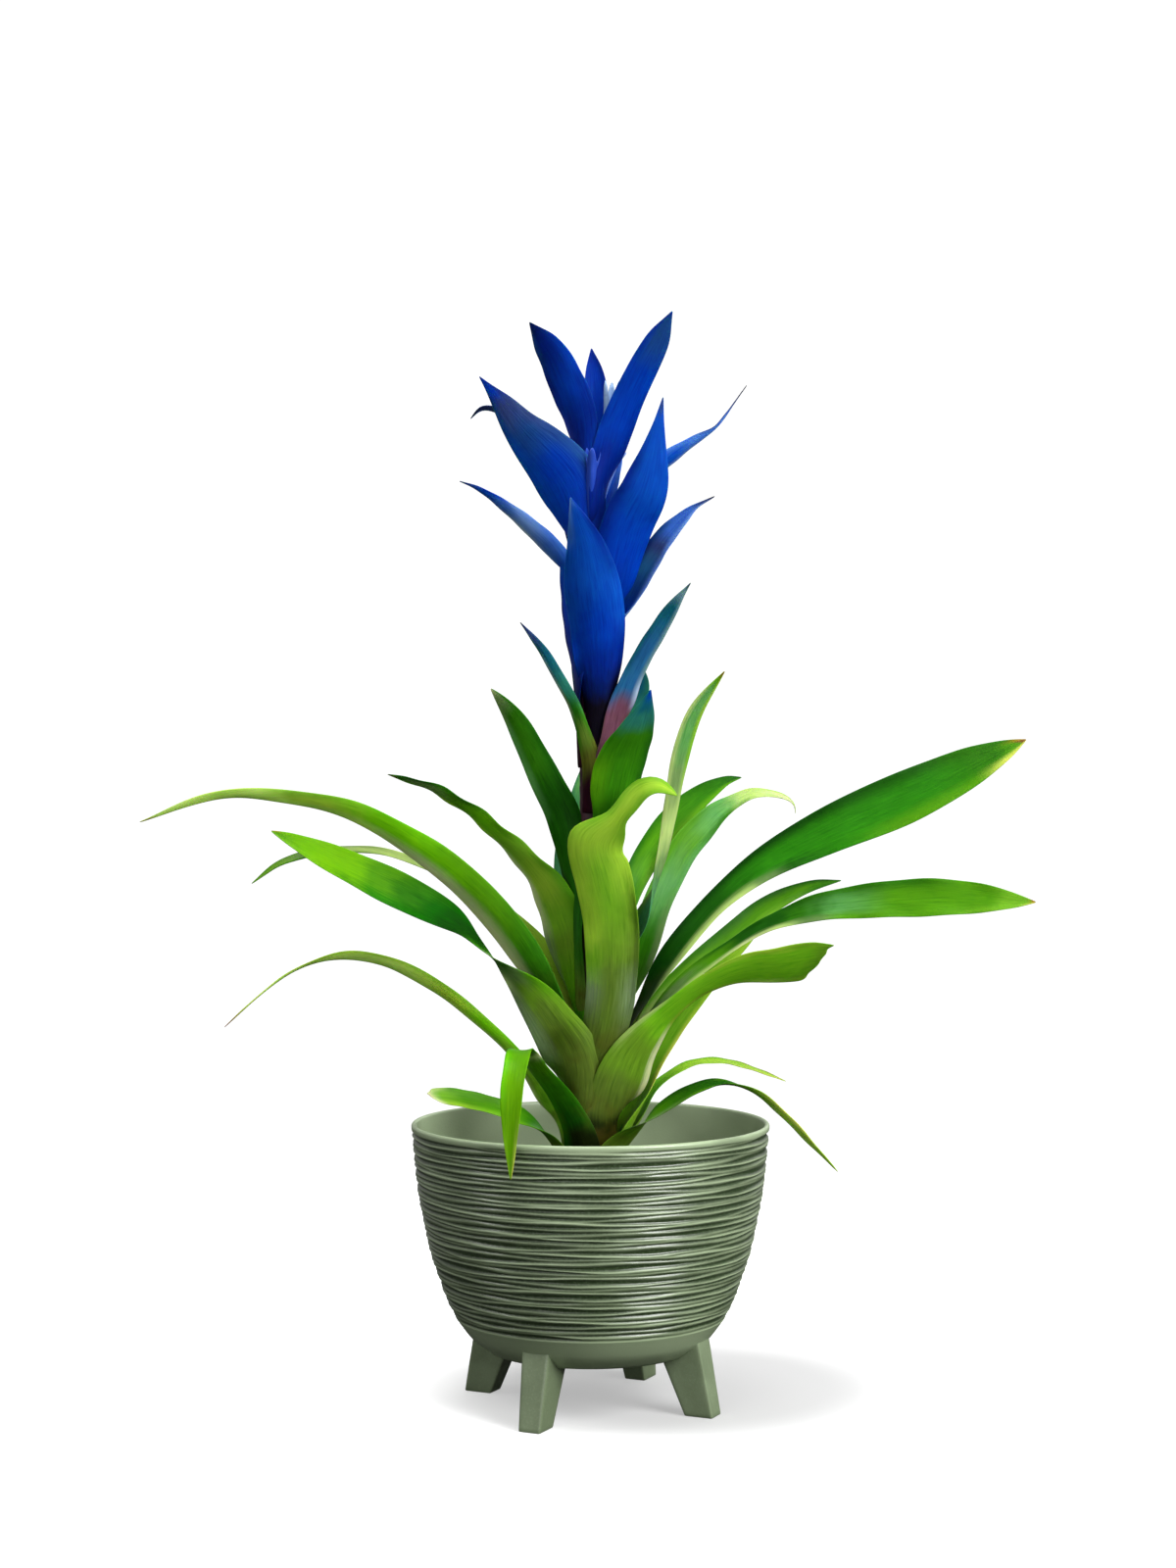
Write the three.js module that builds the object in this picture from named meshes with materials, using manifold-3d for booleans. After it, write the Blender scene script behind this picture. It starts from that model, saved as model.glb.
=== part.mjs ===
// Potted guzmania: a rosette of strap leaves and a spike of coloured bracts in a ribbed pot
// on four short feet. Millimetres, +Z up. The origin is on the floor, on the pot's axis, and
// the front of the plant looks towards -Y.
import * as THREE from 'three';
import { mergeVertices } from 'three/addons/utils/BufferGeometryUtils.js';
import Module from 'manifold-3d';

const wasm = await Module();
wasm.setup();

// Driving dimensions

const CLEARANCE = 0.3; // air between two pieces that touch
const CUT_CLEARANCE = 0.35; // air left round a leaf where it is cut out of its neighbour

// Pot: outside profile as [height, radius], from the flat base to the rim
const POT_PROFILE = [
  [27, 45], [28.5, 52], [35, 61], [40.5, 65.2], [45, 68.4], [55, 73.5], [65, 77], [75, 80.5],
  [85, 83], [95, 85], [105, 87], [115, 88.3], [125, 89.3], [135, 90.1], [142, 90.5],
];
const POT_RIM_HEIGHT = 142;
const POT_RIM_RADIUS = 90.5;
const POT_WALL = 2.6;
const POT_INSIDE_HEIGHTS = [130, 114, 74, 54, 42];
const POT_FLOOR_HEIGHT = 31;
const POT_FLOOR_RADIUS = 46;
const POT_SMOOTH_TOP = 41; // the outside is plain up to here
const POT_SIDES = 40;

// Ridges round the pot, between grooves that are cut into the profile
const RIDGE_LOWEST = 47;
const RIDGE_HIGHEST = 137;
const RIDGE_COUNT = 19;
const RIDGE_DEPTH = 1.1;
const RIDGE_WANDER = 1.3;

// Feet: four tapered blocks that lean outwards, each with its head under the bowl
const FOOT_AZIMUTHS = [64.5, 154.5, 244.5, 334.5];
const FOOT_SOLE = { height: 0, radius: 61.7, across: 11.6, deep: 15 };
const FOOT_HEAD = { height: 44, radius: 48, across: 15.5, deep: 26 };
const FOOT_CORNER = 1.5;
const FOOT_REACH = 75; // height up to which the bowl is cut out of the feet

// Soil: a low mound with a plain hole for the rootstock
const SOIL_EDGE_HEIGHT = 112;
const SOIL_SHOULDER = [60, 113.2]; // [radius, height]
const SOIL_CROWN = [36, 115.4];
const SOIL_MOUND_HEIGHT = 117;

// Stem: [height, radius] from the foot of the rootstock to the top of the spike
const STEM_PROFILE = [
  [68, 11], [82, 13], [120, 13], [158, 9.1], [198, 5.4], [398, 5.4], [438, 4.6], [460, 3.4],
  [466, 1.9],
];
const STEM_SIDES = 20;

// Leaves and bracts
const LEAF_THICKNESS = 0.8;
const BRACT_THICKNESS = 0.7;
const SHEATH_LENGTH = 50; // over this length a leaf opens from its sheath to its own channel
const CLASP_ANGLE = 1.2; // radians that a sheath wraps to each side of its midrib
const TIP_CUP = 0.25; // half-angle of every channel at the tip
const TIP_WIDTH = 0.9;
const LEAF_BLUNT = 1.7; // 2 for a rounded tip, 1 for a pointed one
const BRACT_BLUNT = 1.1;
const LEAF_STEP = 18; // length of a row of faces
const BRACT_STEP = 15;
const ACROSS = 4; // faces across a blade

// Flowers
const FLOWER_NECK = 1.2;
const FLOWER_MOUTH = 3.2;
const FLOWER_LOBE = 0.2;
const FLOWER_ROWS = 6;
const FLOWER_SIDES = 9;

// One row a leaf. az: the way it grows, in degrees from +X towards +Y. rib: points of the
// midrib from the stem to the tip, each [distance from the axis, offset to the leaf's left,
// height]. widths: [share of the leaf's length, blade width there]. turn: [share of the
// length, degrees that the blade is turned about its midrib]. cup: half-angle of its channel.
// sheath: length over which it opens, if not SHEATH_LENGTH. clasp: its wrap, if not CLASP_ANGLE.
// lie: [share of the length, degrees that the width leans over sideways], where a leaf runs
// level. shift: [share of the length, how far the blade stands to one side of its midrib].
// step: length of a row of faces, if not LEAF_STEP.
const LEAVES = [
  { name: 'leaf_left_inner', az: 190, cup: 0.5, turn: [[0.2, 0], [0.55, 62], [1, 50]],
    widths: [[0.3, 17], [0.55, 19.5], [0.75, 16.5], [0.9, 11.5], [1, 0]],
    rib: [[7, 0, 194], [8, 0, 228], [9, 0, 255], [10.5, 0, 278], [15, 0, 298], [21, 0, 310],
      [29, 0, 326], [37, 0, 342], [45, 0, 354], [51, 0, 361]] },
  { name: 'leaf_right_inner', az: -20, cup: 0.6,
    turn: [[0.12, 0], [0.3, 50], [0.42, 0], [0.56, -45], [1, -60]],
    widths: [[0.2, 12], [0.32, 15], [0.42, 9], [0.52, 8], [0.65, 8.5], [0.75, 9.5], [0.87, 8],
      [1, 0]],
    rib: [[7.4, 0, 190], [14, 0, 210], [25, 0, 236], [34, 0, 258], [39.5, 0, 280], [43.5, 0, 303],
      [47, 0, 322], [51, 0, 337], [57, 0, 351], [71, 0, 369]] },
  { name: 'leaf_front_curled', az: 265, cup: 0.5, step: 11,
    turn: [[0.74, 0], [0.88, -22], [1, -30]],
    lie: [[0.66, 0], [0.8, 45], [0.9, 85], [1, 100]],
    shift: [[0.62, 0], [0.7, -3.5], [0.75, 0.5], [0.8, 1], [0.86, 0]],
    widths: [[0.25, 26], [0.4, 29], [0.6, 30], [0.66, 30], [0.71, 27.5], [0.745, 19], [0.775, 11],
      [0.84, 12], [0.9, 12], [0.95, 8], [1, 0]],
    rib: [[9.9, 0, 163], [15, 8, 188], [19, 12, 214], [22, 12, 244], [25, 9, 262], [28, 6.5, 277],
      [31, 10, 288], [33, 15, 297], [34.5, 22, 305], [35.5, 29, 311.5], [36, 37, 312.5],
      [36, 46, 307]] },
  { name: 'leaf_right_back', az: 55, cup: 0.4, turn: [[0.15, 0], [0.45, 55], [1, 60]],
    widths: [[0.35, 12], [0.5, 15.5], [0.64, 17], [0.8, 12], [0.92, 5.6], [1, 0]],
    rib: [[8.4, 0, 181], [12, 0, 203], [22, 0, 233], [42, 0, 266], [65, 0, 286], [95, 0, 303],
      [129, 0, 315], [146, 0, 317]] },
  { name: 'leaf_right_curled', az: 40, cup: 0.4, step: 15, turn: [[0.15, 0], [0.4, 60], [1, 60]],
    widths: [[0.2, 18], [0.4, 15.5], [0.62, 15.5], [0.76, 8], [0.9, 4.5], [1, 0]],
    rib: [[9.2, 0, 171], [16, 0, 190], [31, 0, 217], [44, 0, 250], [54, 0, 266], [64, 0, 280],
      [75, 0, 289], [87, 0, 298], [100, 0, 304], [112, 0, 308], [128, 0, 308], [138, 0, 306],
      [145, 0, 302], [145.5, 0, 297]] },
  { name: 'leaf_right_long', az: 6, cup: 0.35, turn: [[0.1, 0], [0.35, 70], [1, 72]],
    widths: [[0.2, 16], [0.37, 12.5], [0.6, 24], [0.73, 28], [0.84, 24.5], [0.92, 17], [1, 0]],
    rib: [[10.7, 0, 158], [15, 0, 174], [26, 0, 199], [39, 0, 222], [56, 0, 244], [69, 0, 257],
      [89, 0, 272], [120, 0, 288], [165, 0, 307], [201, 0, 324], [226, 0, 336]] },
  { name: 'leaf_right_level', az: -5, cup: 0.35, turn: [[0.12, 0], [0.35, 66], [1, 72]],
    widths: [[0.22, 9.5], [0.45, 7], [0.6, 15], [0.78, 20], [0.9, 15], [1, 0]],
    rib: [[11.6, 0, 149], [15, 0, 165], [29, 0, 193], [48, 0, 214], [68, 0, 229], [83, 0, 239],
      [99, 0, 246], [116, 0, 251], [151, 0, 255], [185, 0, 256], [223, 0, 254]] },
  { name: 'leaf_right_short', az: 25, cup: 0.4, turn: [[0.15, 0], [0.5, 55], [1, 55]],
    widths: [[0.25, 14], [0.5, 12.5], [0.7, 12], [0.88, 7.5], [1, 0]],
    rib: [[12.2, 0, 143], [16, 0, 160], [27, 0, 187], [49, 0, 210], [69, 0, 226], [86, 0, 238],
      [100, 0, 248], [127, 0, 259], [147, 0, 262]] },
  { name: 'leaf_right_torn', az: -30, cup: 0.4, sheath: 50,
    turn: [[0.03, 0], [0.17, -44], [0.5, -62], [1, -65]],
    shift: [[0.02, 0], [0.1, 1.5], [0.17, 1.5], [0.28, 0]],
    widths: [[0.2, 28], [0.32, 20], [0.45, 10.5], [0.6, 10.5], [0.76, 18], [0.88, 20], [0.95, 17],
      [1, 9]],
    rib: [[13.4, 0, 131], [15, -5, 148], [20, -6, 163], [27, -3, 178], [37, 0, 192], [49, 0, 203],
      [62, 0, 212], [77, 0, 219], [91, 0, 222.5], [109, 0, 224.5], [138, 0, 231.5]] },
  { name: 'leaf_right_steep', az: 18, cup: 0.4,
    turn: [[0.15, 0], [0.45, 50], [1, 50]],
    widths: [[0.2, 12], [0.32, 9], [0.5, 8], [0.75, 9.5], [0.9, 7], [1, 0]],
    rib: [[14, 0, 125], [20, 0, 137], [26.5, 0, 150], [31.5, 0, 162], [37, 0, 173], [48, 0, 190],
      [58, 0, 203.5], [73.5, 0, 222], [90, 0, 235]] },
  { name: 'leaf_right_thin', az: 38, cup: 0.4, turn: [[0.15, 0], [0.5, 25], [1, 30]],
    widths: [[0.2, 6.5], [0.5, 5.6], [0.83, 5.5], [1, 0]],
    rib: [[14.4, 0, 121], [21, 0, 131], [30, 0, 142], [39, 0, 154], [50, 0, 161], [67, 0, 167],
      [87, 0, 167], [111, 0, 161], [134, 0, 153]] },
  { name: 'leaf_right_drooping', az: -42, cup: 0.4, clasp: 0.9,
    turn: [[0.12, 0], [0.3, 55], [0.46, 50], [0.6, -20], [0.75, -55], [1, -50]],
    widths: [[0.25, 10.5], [0.4, 8.5], [0.55, 7], [0.66, 8.8], [0.8, 7.2], [0.92, 4.8], [1, 0]],
    rib: [[14.7, 0, 119], [19, 0, 128], [32, 0, 141], [47, 0, 152], [63, 0, 161], [75, 0, 166],
      [89, 0, 168], [103, 0, 166], [116, 0, 160], [128, 0, 152], [155, 0, 132]] },
  { name: 'leaf_left_long', az: 188, cup: 0.4, turn: [[0.08, 0], [0.28, 62], [1, 45]],
    widths: [[0.2, 19], [0.45, 17.5], [0.6, 13], [0.77, 8], [0.9, 5], [1, 0]],
    rib: [[10.9, 0, 156], [11.2, 0, 175], [15, 0, 194], [26, 0, 214], [40, 0, 236], [56, 0, 255],
      [72, 0, 270], [89, 0, 282], [120, 0, 299], [159, 0, 307], [188, 0, 307], [225, 0, 294]] },
  { name: 'leaf_left_twisted', az: 218, cup: 0.35, sheath: 60, step: 14,
    turn: [[0.03, 0], [0.13, 46], [0.24, 55], [0.36, 20], [0.52, -68], [1, -70]],
    widths: [[0.14, 31], [0.22, 25], [0.3, 20], [0.44, 8], [0.56, 15.5], [0.67, 19.5], [0.81, 17],
      [0.92, 10.7], [1, 0]],
    rib: [[12.4, 0, 141], [13.5, 4, 158], [17, 7, 175], [28, 4, 194], [42, 0, 212], [53, 0, 221],
      [62, 0, 228], [71, 0, 236], [80, 0, 244], [93, 0, 251], [125, 0, 265], [187, 0, 291]] },
  { name: 'leaf_left_arching', az: 195, cup: 0.5,
    turn: [[0.05, 0], [0.12, 40], [0.4, 58], [0.7, 50], [0.81, 15], [1, 20]],
    widths: [[0.08, 19], [0.15, 12], [0.24, 7.5], [0.36, 7.5], [0.5, 8], [0.68, 6], [0.8, 4.4],
      [0.9, 3.6], [1, 0]],
    rib: [[13.8, 0, 127], [15.5, 0, 138], [23, 0, 155], [41, 0, 179], [58, 0, 195], [74, 0, 208],
      [90, 0, 218], [106, 0, 225], [122, 0, 228], [138, 0, 226], [151, 0, 221], [167, 0, 210],
      [185, 0, 194]] },
  { name: 'leaf_front_hanging', az: 250, cup: 0.4, clasp: 0.8, sheath: 30, step: 12,
    widths: [[0.16, 15], [0.3, 12.5], [0.5, 12], [0.66, 12.5], [0.8, 11], [0.91, 6], [1, 0]],
    rib: [[14.4, 0, 122], [16, -1, 138], [20, -7.5, 154], [34, -15, 170.5], [57, -13.5, 182],
      [76, -8.7, 184], [89, -5.2, 178.5], [95, -4.7, 168], [97, -4.7, 150], [96.5, -5, 126]] },
  { name: 'leaf_left_low', az: 203, cup: 0.35, clasp: 0.6,
    turn: [[0.15, 0], [0.5, -52], [1, -55]],
    widths: [[0.3, 13], [0.55, 10.5], [0.85, 10], [0.96, 7.5], [1, 4]],
    rib: [[14.7, 0, 119], [20, 0, 131], [31, 0, 142], [49, 0, 151], [70, 0, 157], [88, 0, 160]] },
  { name: 'leaf_left_narrow', az: 147, cup: 0.4, clasp: 0.9,
    turn: [[0.1, 0], [0.25, -50], [1, -55]],
    widths: [[0.1, 16], [0.2, 15], [0.3, 9.5], [0.42, 6], [0.5, 5], [0.75, 4.5], [0.92, 5.5],
      [1, 0]],
    rib: [[9.8, 0, 166], [12, 0, 186], [17, 0, 203], [33, 0, 230], [62, 0, 252], [87, 0, 264],
      [110, 0, 272], [132, 0, 277], [153, 0, 278], [171, 0, 277], [189, 0, 274], [205, 0, 269],
      [224, 0, 258]] },
  { name: 'leaf_left_upper', az: 170, cup: 0.45, sheath: 70,
    turn: [[0.06, 0], [0.2, 50], [0.34, 62], [1, 35]],
    widths: [[0.18, 31], [0.37, 31], [0.46, 24], [0.55, 17], [0.72, 12.5], [0.88, 8.5], [1, 0]],
    rib: [[9.2, 0, 174], [8.5, 0, 192], [9.5, 0, 212], [15.5, 0, 242], [23, 0, 259], [33.5, 0, 273],
      [47, 0, 286], [61, 0, 298], [83, 0, 311], [106, 0, 318]] },
  { name: 'leaf_back_inner', az: 100, cup: 0.5,
    widths: [[0.3, 14], [0.6, 13], [0.85, 7], [1, 0]],
    rib: [[6.8, 0, 198], [14, 4, 223], [22, 7, 247], [28, 8, 277], [34, 2, 303], [40, -4, 325]] },
  { name: 'leaf_back_upright', az: 84, cup: 0.45,
    widths: [[0.3, 16], [0.6, 17], [0.85, 10], [1, 0]],
    rib: [[8.7, 0, 178], [13, 0, 203], [27, 0, 233], [47, 0, 260], [72, 0, 279], [98, 0, 286]] },
  { name: 'leaf_back_arching', az: 96, cup: 0.4,
    widths: [[0.3, 17], [0.6, 19], [0.85, 12], [1, 0]],
    rib: [[11.3, 0, 152], [15, 0, 173], [27, 0, 198], [48, 0, 220], [76, 0, 232], [102, 0, 230],
      [120, 0, 218]] },
  { name: 'leaf_back_low', az: 108, cup: 0.4,
    widths: [[0.3, 15], [0.6, 16], [0.85, 10], [1, 0]],
    rib: [[13, 0, 135], [18, 0, 153], [30, 0, 170], [48, 0, 182], [70, 0, 186], [92, 0, 180]] },
  { name: 'leaf_back_lowest', az: 74, cup: 0.4,
    widths: [[0.3, 14], [0.6, 14], [0.85, 9], [1, 0]],
    rib: [[14.2, 0, 123], [22, 0, 136], [36, 0, 147], [56, 0, 154], [78, 0, 155], [98, 0, 147]] },
];

const BRACTS = [
  { name: 'bract_front_green', az: -57, cup: 0.6,
    widths: [[0.25, 24], [0.45, 32], [0.65, 30], [0.85, 16], [1, 0]],
    rib: [[6.7, 0, 270], [12, 0, 281], [20, 0, 294], [32, 0, 323], [46, 0, 344], [54, 0, 359]] },
  { name: 'bract_left_lower', az: 260, cup: 0.5, sheath: 44,
    widths: [[0.25, 9], [0.42, 7.2], [0.58, 6.4], [0.75, 5.8], [0.88, 4], [0.95, 1.8], [1, 0]],
    rib: [[6.7, 2, 298], [7, 2.4, 313], [7.6, 1.9, 323], [8.4, -0.2, 332], [9.2, -2.7, 341],
      [10.7, -7, 353.5], [12.9, -13.7, 366], [15.4, -21.2, 379.5], [17, -26, 386],
      [18.9, -32.5, 394]] },
  { name: 'bract_right_lower', az: -25, cup: 0.6, turn: [[0.15, 0], [0.4, -45], [1, -45]],
    widths: [[0.25, 16], [0.5, 11.5], [0.74, 9.7], [0.87, 6.9], [0.94, 3], [1, 0]],
    rib: [[6.7, 0, 316], [14, 0, 340], [18, 0, 352], [23, 0, 365], [30, 0, 378], [38, 0, 390],
      [46, 0, 402], [55, 0, 413]] },
  { name: 'bract_right_behind', az: 30, cup: 0.5,
    turn: [[0.15, 0], [0.5, 50], [1, 55]],
    widths: [[0.4, 15], [0.7, 15], [0.88, 9], [1, 0]],
    rib: [[6.7, 0, 333], [16, 0, 344], [25, 0, 357], [31.5, 0, 372.5]] },
  { name: 'bract_left_dark', az: 172, cup: 0.6,
    turn: [[0.3, 0], [0.58, 40], [1, 50]],
    widths: [[0.2, 15], [0.43, 20], [0.67, 19], [0.88, 11], [1, 0]],
    rib: [[6.2, 0, 321], [7, 0, 342], [7.8, 0, 363], [9.5, 0, 388], [11.8, 0, 410], [15.5, 0, 426]] },
  { name: 'bract_front_large', az: 267, cup: 0.8, clasp: 1,
    widths: [[0.2, 20], [0.36, 26.5], [0.53, 32], [0.67, 30], [0.83, 18], [0.93, 8], [1, 0]],
    rib: [[6.7, 2, 326], [7.4, 4, 348], [9.4, 4.6, 370], [14, 4, 392], [20, 1.6, 411],
      [27, -1.2, 431], [36, -8, 454]] },
  { name: 'bract_right_middle', az: -5, cup: 0.6, turn: [[0.1, 0], [0.35, 50], [1, 60]],
    widths: [[0.3, 14.5], [0.5, 16], [0.68, 13], [0.8, 9], [0.89, 3.5], [0.96, 1.5], [1, 0]],
    rib: [[6.7, 0, 374], [12, 0, 388], [19, 0, 402], [31, 0, 426], [38, 0, 437], [46, 0, 446],
      [52, 0, 452], [63, 0, 458]] },
  { name: 'bract_right_wide', az: -35, cup: 0.45, sheath: 30,
    turn: [[0.06, 0], [0.3, -38], [1, -50]],
    widths: [[0.1, 22], [0.22, 25], [0.42, 27], [0.52, 27.5], [0.61, 25.5], [0.68, 22.5],
      [0.75, 17], [0.83, 10.5], [0.91, 5], [0.96, 2.5], [1, 0]],
    rib: [[6.7, 0, 383], [9, 0, 394], [14, 0, 414], [18.5, 0, 430], [24.5, 0, 445], [32.5, 0, 458],
      [37, 0, 472], [40, 0, 485], [44, 0, 505]] },
  { name: 'bract_left_thin', az: 175, cup: 0.6, turn: [[0.15, 0], [0.4, 52], [1, 55]],
    widths: [[0.3, 13.5], [0.52, 11.5], [0.7, 7.8], [0.88, 3.2], [1, 0]],
    rib: [[6.7, 0, 393], [8.3, 0, 406], [12, 0, 420], [20, 0, 432], [29, 0, 441], [39, 0, 450],
      [57, 0, 463], [67, 0, 467]] },
  { name: 'bract_left_large', az: 200, cup: 0.45, sheath: 64,
    turn: [[0.1, 0], [0.35, 50], [1, 62]],
    widths: [[0.25, 35], [0.45, 35], [0.62, 28], [0.75, 19], [0.87, 10.5], [0.94, 4.5], [1, 0]],
    rib: [[6.5, 0, 407], [6.5, 1.5, 424], [7, 2, 440], [9.5, 2, 456], [16, 1, 469], [25.5, 0, 480],
      [37, 0, 491], [47, 0, 503], [59, 0, 516]] },
  { name: 'bract_right_far', az: 25, cup: 0.5, turn: [[0.15, 0], [0.45, -50], [1, -60]],
    widths: [[0.3, 14], [0.5, 12.5], [0.63, 8], [0.75, 3], [0.85, 1.4], [1, 0]],
    rib: [[6.2, 0, 422], [13, 0, 439], [25, 0, 455], [35, 0, 471], [45, 0, 480], [64, 0, 493],
      [72, 0, 498], [80, 0, 508], [90, 0, 521]] },
  { name: 'bract_left_behind', az: 150, cup: 0.5, turn: [[0.2, 0], [0.6, 45], [1, 50]],
    widths: [[0.3, 12], [0.6, 10], [0.8, 5.5], [0.9, 3.5], [1, 0]],
    rib: [[6.1, 0, 428], [12, 0, 448], [27, 0, 476], [44, 0, 498], [58, 0, 507], [66, 0, 508],
      [72, 0, 503]] },
  { name: 'bract_right_inner', az: -30, cup: 0.5, sheath: 84,
    turn: [[0.18, 0], [0.42, -45], [1, -58]],
    widths: [[0.25, 27], [0.45, 21], [0.6, 17], [0.77, 15], [0.88, 12], [0.94, 6.5], [1, 0]],
    rib: [[6, 0, 435], [7.5, -1, 456], [10.5, -1, 473], [15, 0, 490], [22.5, 0, 507],
      [30.5, 0, 521], [38, 0, 533], [47, 0, 548]] },
  { name: 'bract_left_inner', az: 178, cup: 0.5, sheath: 74,
    turn: [[0.18, 0], [0.42, 45], [1, 60]],
    widths: [[0.25, 29], [0.5, 26], [0.75, 20.5], [0.88, 14.5], [0.95, 6.5], [1, 0]],
    rib: [[5.5, 0, 444], [5.5, 0, 466], [5.5, 0, 484], [8, 0, 501], [13.5, 0, 516], [19, 0, 529],
      [25.5, 0, 539], [31, 0, 547]] },
  { name: 'bract_back_inner', az: 90, cup: 0.6,
    widths: [[0.3, 14], [0.65, 14], [0.85, 9.5], [0.94, 4.5], [1, 0]],
    rib: [[4.9, 0, 453], [6.5, -2, 473], [9.5, -3, 498], [12, -2.5, 518], [14, -0.5, 536]] },
  { name: 'bract_back_lower', az: 95, cup: 0.6,
    widths: [[0.3, 16], [0.6, 17], [0.85, 8], [1, 0]],
    rib: [[6.7, 0, 326], [12, 0, 348], [22, 0, 373], [36, 0, 396], [50, 0, 410]] },
  { name: 'bract_back_middle', az: 75, cup: 0.6,
    widths: [[0.3, 16], [0.6, 17], [0.85, 8], [1, 0]],
    rib: [[6.7, 0, 360], [12, 0, 380], [22, 0, 403], [35, 0, 428], [48, 0, 445]] },
  { name: 'bract_back_upper', az: 112, cup: 0.6,
    widths: [[0.3, 15], [0.6, 16], [0.85, 8], [1, 0]],
    rib: [[6.6, 0, 400], [11, 0, 420], [20, 0, 444], [32, 0, 464], [44, 0, 478]] },
  { name: 'bract_back_top', az: 66, cup: 0.6,
    widths: [[0.3, 14], [0.6, 15], [0.85, 8], [1, 0]],
    rib: [[6.3, 0, 415], [10, 0, 435], [18, 0, 459], [30, 0, 480], [42, 0, 496]] },
];

const FLOWER_RIBS = [
  { name: 'flower_right', az: 0, rib: [[5.3, 0, 454], [8.6, 0, 478], [9.8, 0, 498], [11, 0, 517]] },
  { name: 'flower_left', az: 270,
    rib: [[5.8, 0, 445], [6.2, 0.3, 458], [7, 0.8, 470], [8.4, 1.4, 482]] },
  { name: 'flower_back', az: 50, rib: [[5.8, 0, 445], [9.5, 0, 461], [16, 0, 476], [24, 0, 486]] },
];

// Small helpers

const radians = (degrees) => (degrees * Math.PI) / 180;
const mix = (a, b, share) => a + (b - a) * share;

function smooth(x) {
  const c = Math.min(1, Math.max(0, x));
  return c * c * (3 - 2 * c);
}

// Value at x of a line drawn through rows of [x, value]
function along(rows, x) {
  const last = rows.length - 1;
  if (x <= rows[0][0]) return rows[0][1];
  if (x >= rows[last][0]) return rows[last][1];
  const i = rows.findIndex((row) => x < row[0]);
  return mix(rows[i - 1][1], rows[i][1], (x - rows[i - 1][0]) / (rows[i][0] - rows[i - 1][0]));
}

// The same drawn as a smooth curve. Where it ends at 0, blunt 1 gives a pointed tip and 2 a
// rounded one.
function curvedAlong(rows, x, blunt = 2) {
  const last = rows.length - 1;
  if (x <= rows[0][0]) return rows[0][1];
  if (x >= rows[last][0]) return rows[last][1];
  const slope = (i) => {
    if (i === 0 || i === last) return 0;
    return (rows[i + 1][1] - rows[i - 1][1]) / (rows[i + 1][0] - rows[i - 1][0]);
  };
  const i = rows.findIndex((row) => x < row[0]) - 1;
  const [x0, v0] = rows[i];
  const [x1, v1] = rows[i + 1];
  const span = x1 - x0;
  const u = (x - x0) / span;
  const leaving = slope(i);
  const arriving = i + 1 === last && v1 === 0 ? (-blunt * v0) / span : slope(i + 1);
  return mix(v0, v1, smooth(u)) + span * u * (1 - u) * (leaving * (1 - u) - arriving * u);
}

function geometryOf(points, triangles) {
  const geometry = new THREE.BufferGeometry();
  geometry.setAttribute('position', new THREE.Float32BufferAttribute(points.flat(), 3));
  geometry.setIndex(triangles.flat());
  return geometry;
}

function solidOf(geometry) {
  const bare = geometry.clone();
  bare.deleteAttribute('normal');
  bare.deleteAttribute('uv');
  const merged = mergeVertices(bare, 1e-4);
  const vertProperties = new Float32Array(merged.attributes.position.array);
  const triVerts = new Uint32Array(merged.index.array);
  return new wasm.Manifold(new wasm.Mesh({ numProp: 3, vertProperties, triVerts }));
}

function geometryOfSolid(solid) {
  const mesh = solid.getMesh();
  const geometry = new THREE.BufferGeometry();
  geometry.setAttribute('position', new THREE.BufferAttribute(new Float32Array(mesh.vertProperties), 3));
  geometry.setIndex(new THREE.BufferAttribute(new Uint32Array(mesh.triVerts), 1));
  return geometry;
}

// The largest body of a solid, without the scraps that a cut can leave
function largestBody(solid) {
  const bodies = solid.decompose();
  bodies.sort((a, b) => b.volume() - a.volume());
  return bodies[0];
}

// A closed skin round rings of points, one ring a row, with a flat fan at each end
function skinRings(rings) {
  const points = rings.flat();
  const size = rings[0].length;
  const triangles = [];
  for (let i = 0; i + 1 < rings.length; i += 1) {
    for (let j = 0; j < size; j += 1) {
      const a = i * size + j;
      const b = i * size + ((j + 1) % size);
      triangles.push([a, b, b + size], [a, b + size, a + size]);
    }
  }
  const last = (rings.length - 1) * size;
  for (let j = 1; j + 1 < size; j += 1) {
    triangles.push([0, j + 1, j], [last, last + j, last + j + 1]);
  }
  return geometryOf(points, triangles);
}

// Midrib of a leaf as a curve in space

function ribCurve(leaf) {
  const angle = radians(leaf.az);
  const points = leaf.rib.map(([out, side, up]) => new THREE.Vector3(
    out * Math.cos(angle) - side * Math.sin(angle),
    out * Math.sin(angle) + side * Math.cos(angle),
    up,
  ));
  return new THREE.CatmullRomCurve3(points, false, 'centripetal');
}

// Blade width and the half-angle of its channel, at a share t of the leaf's length

function bladeSection(leaf, t, length) {
  const blunt = leaf.name.startsWith('bract') ? BRACT_BLUNT : LEAF_BLUNT;
  const clasp = 1 - smooth((t * length) / (leaf.sheath ?? SHEATH_LENGTH));
  const wrap = leaf.clasp ?? CLASP_ANGLE;
  const sheath = 2 * wrap * leaf.rib[0][0];
  const width = Math.max(TIP_WIDTH, mix(curvedAlong(leaf.widths, t, blunt), sheath, clasp));
  const half = mix(mix(leaf.cup, TIP_CUP, smooth(2 * t - 1)), wrap, clasp);
  return { width, half };
}

// A leaf as a thin curved blade of even thickness. grow adds air all round it.

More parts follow.
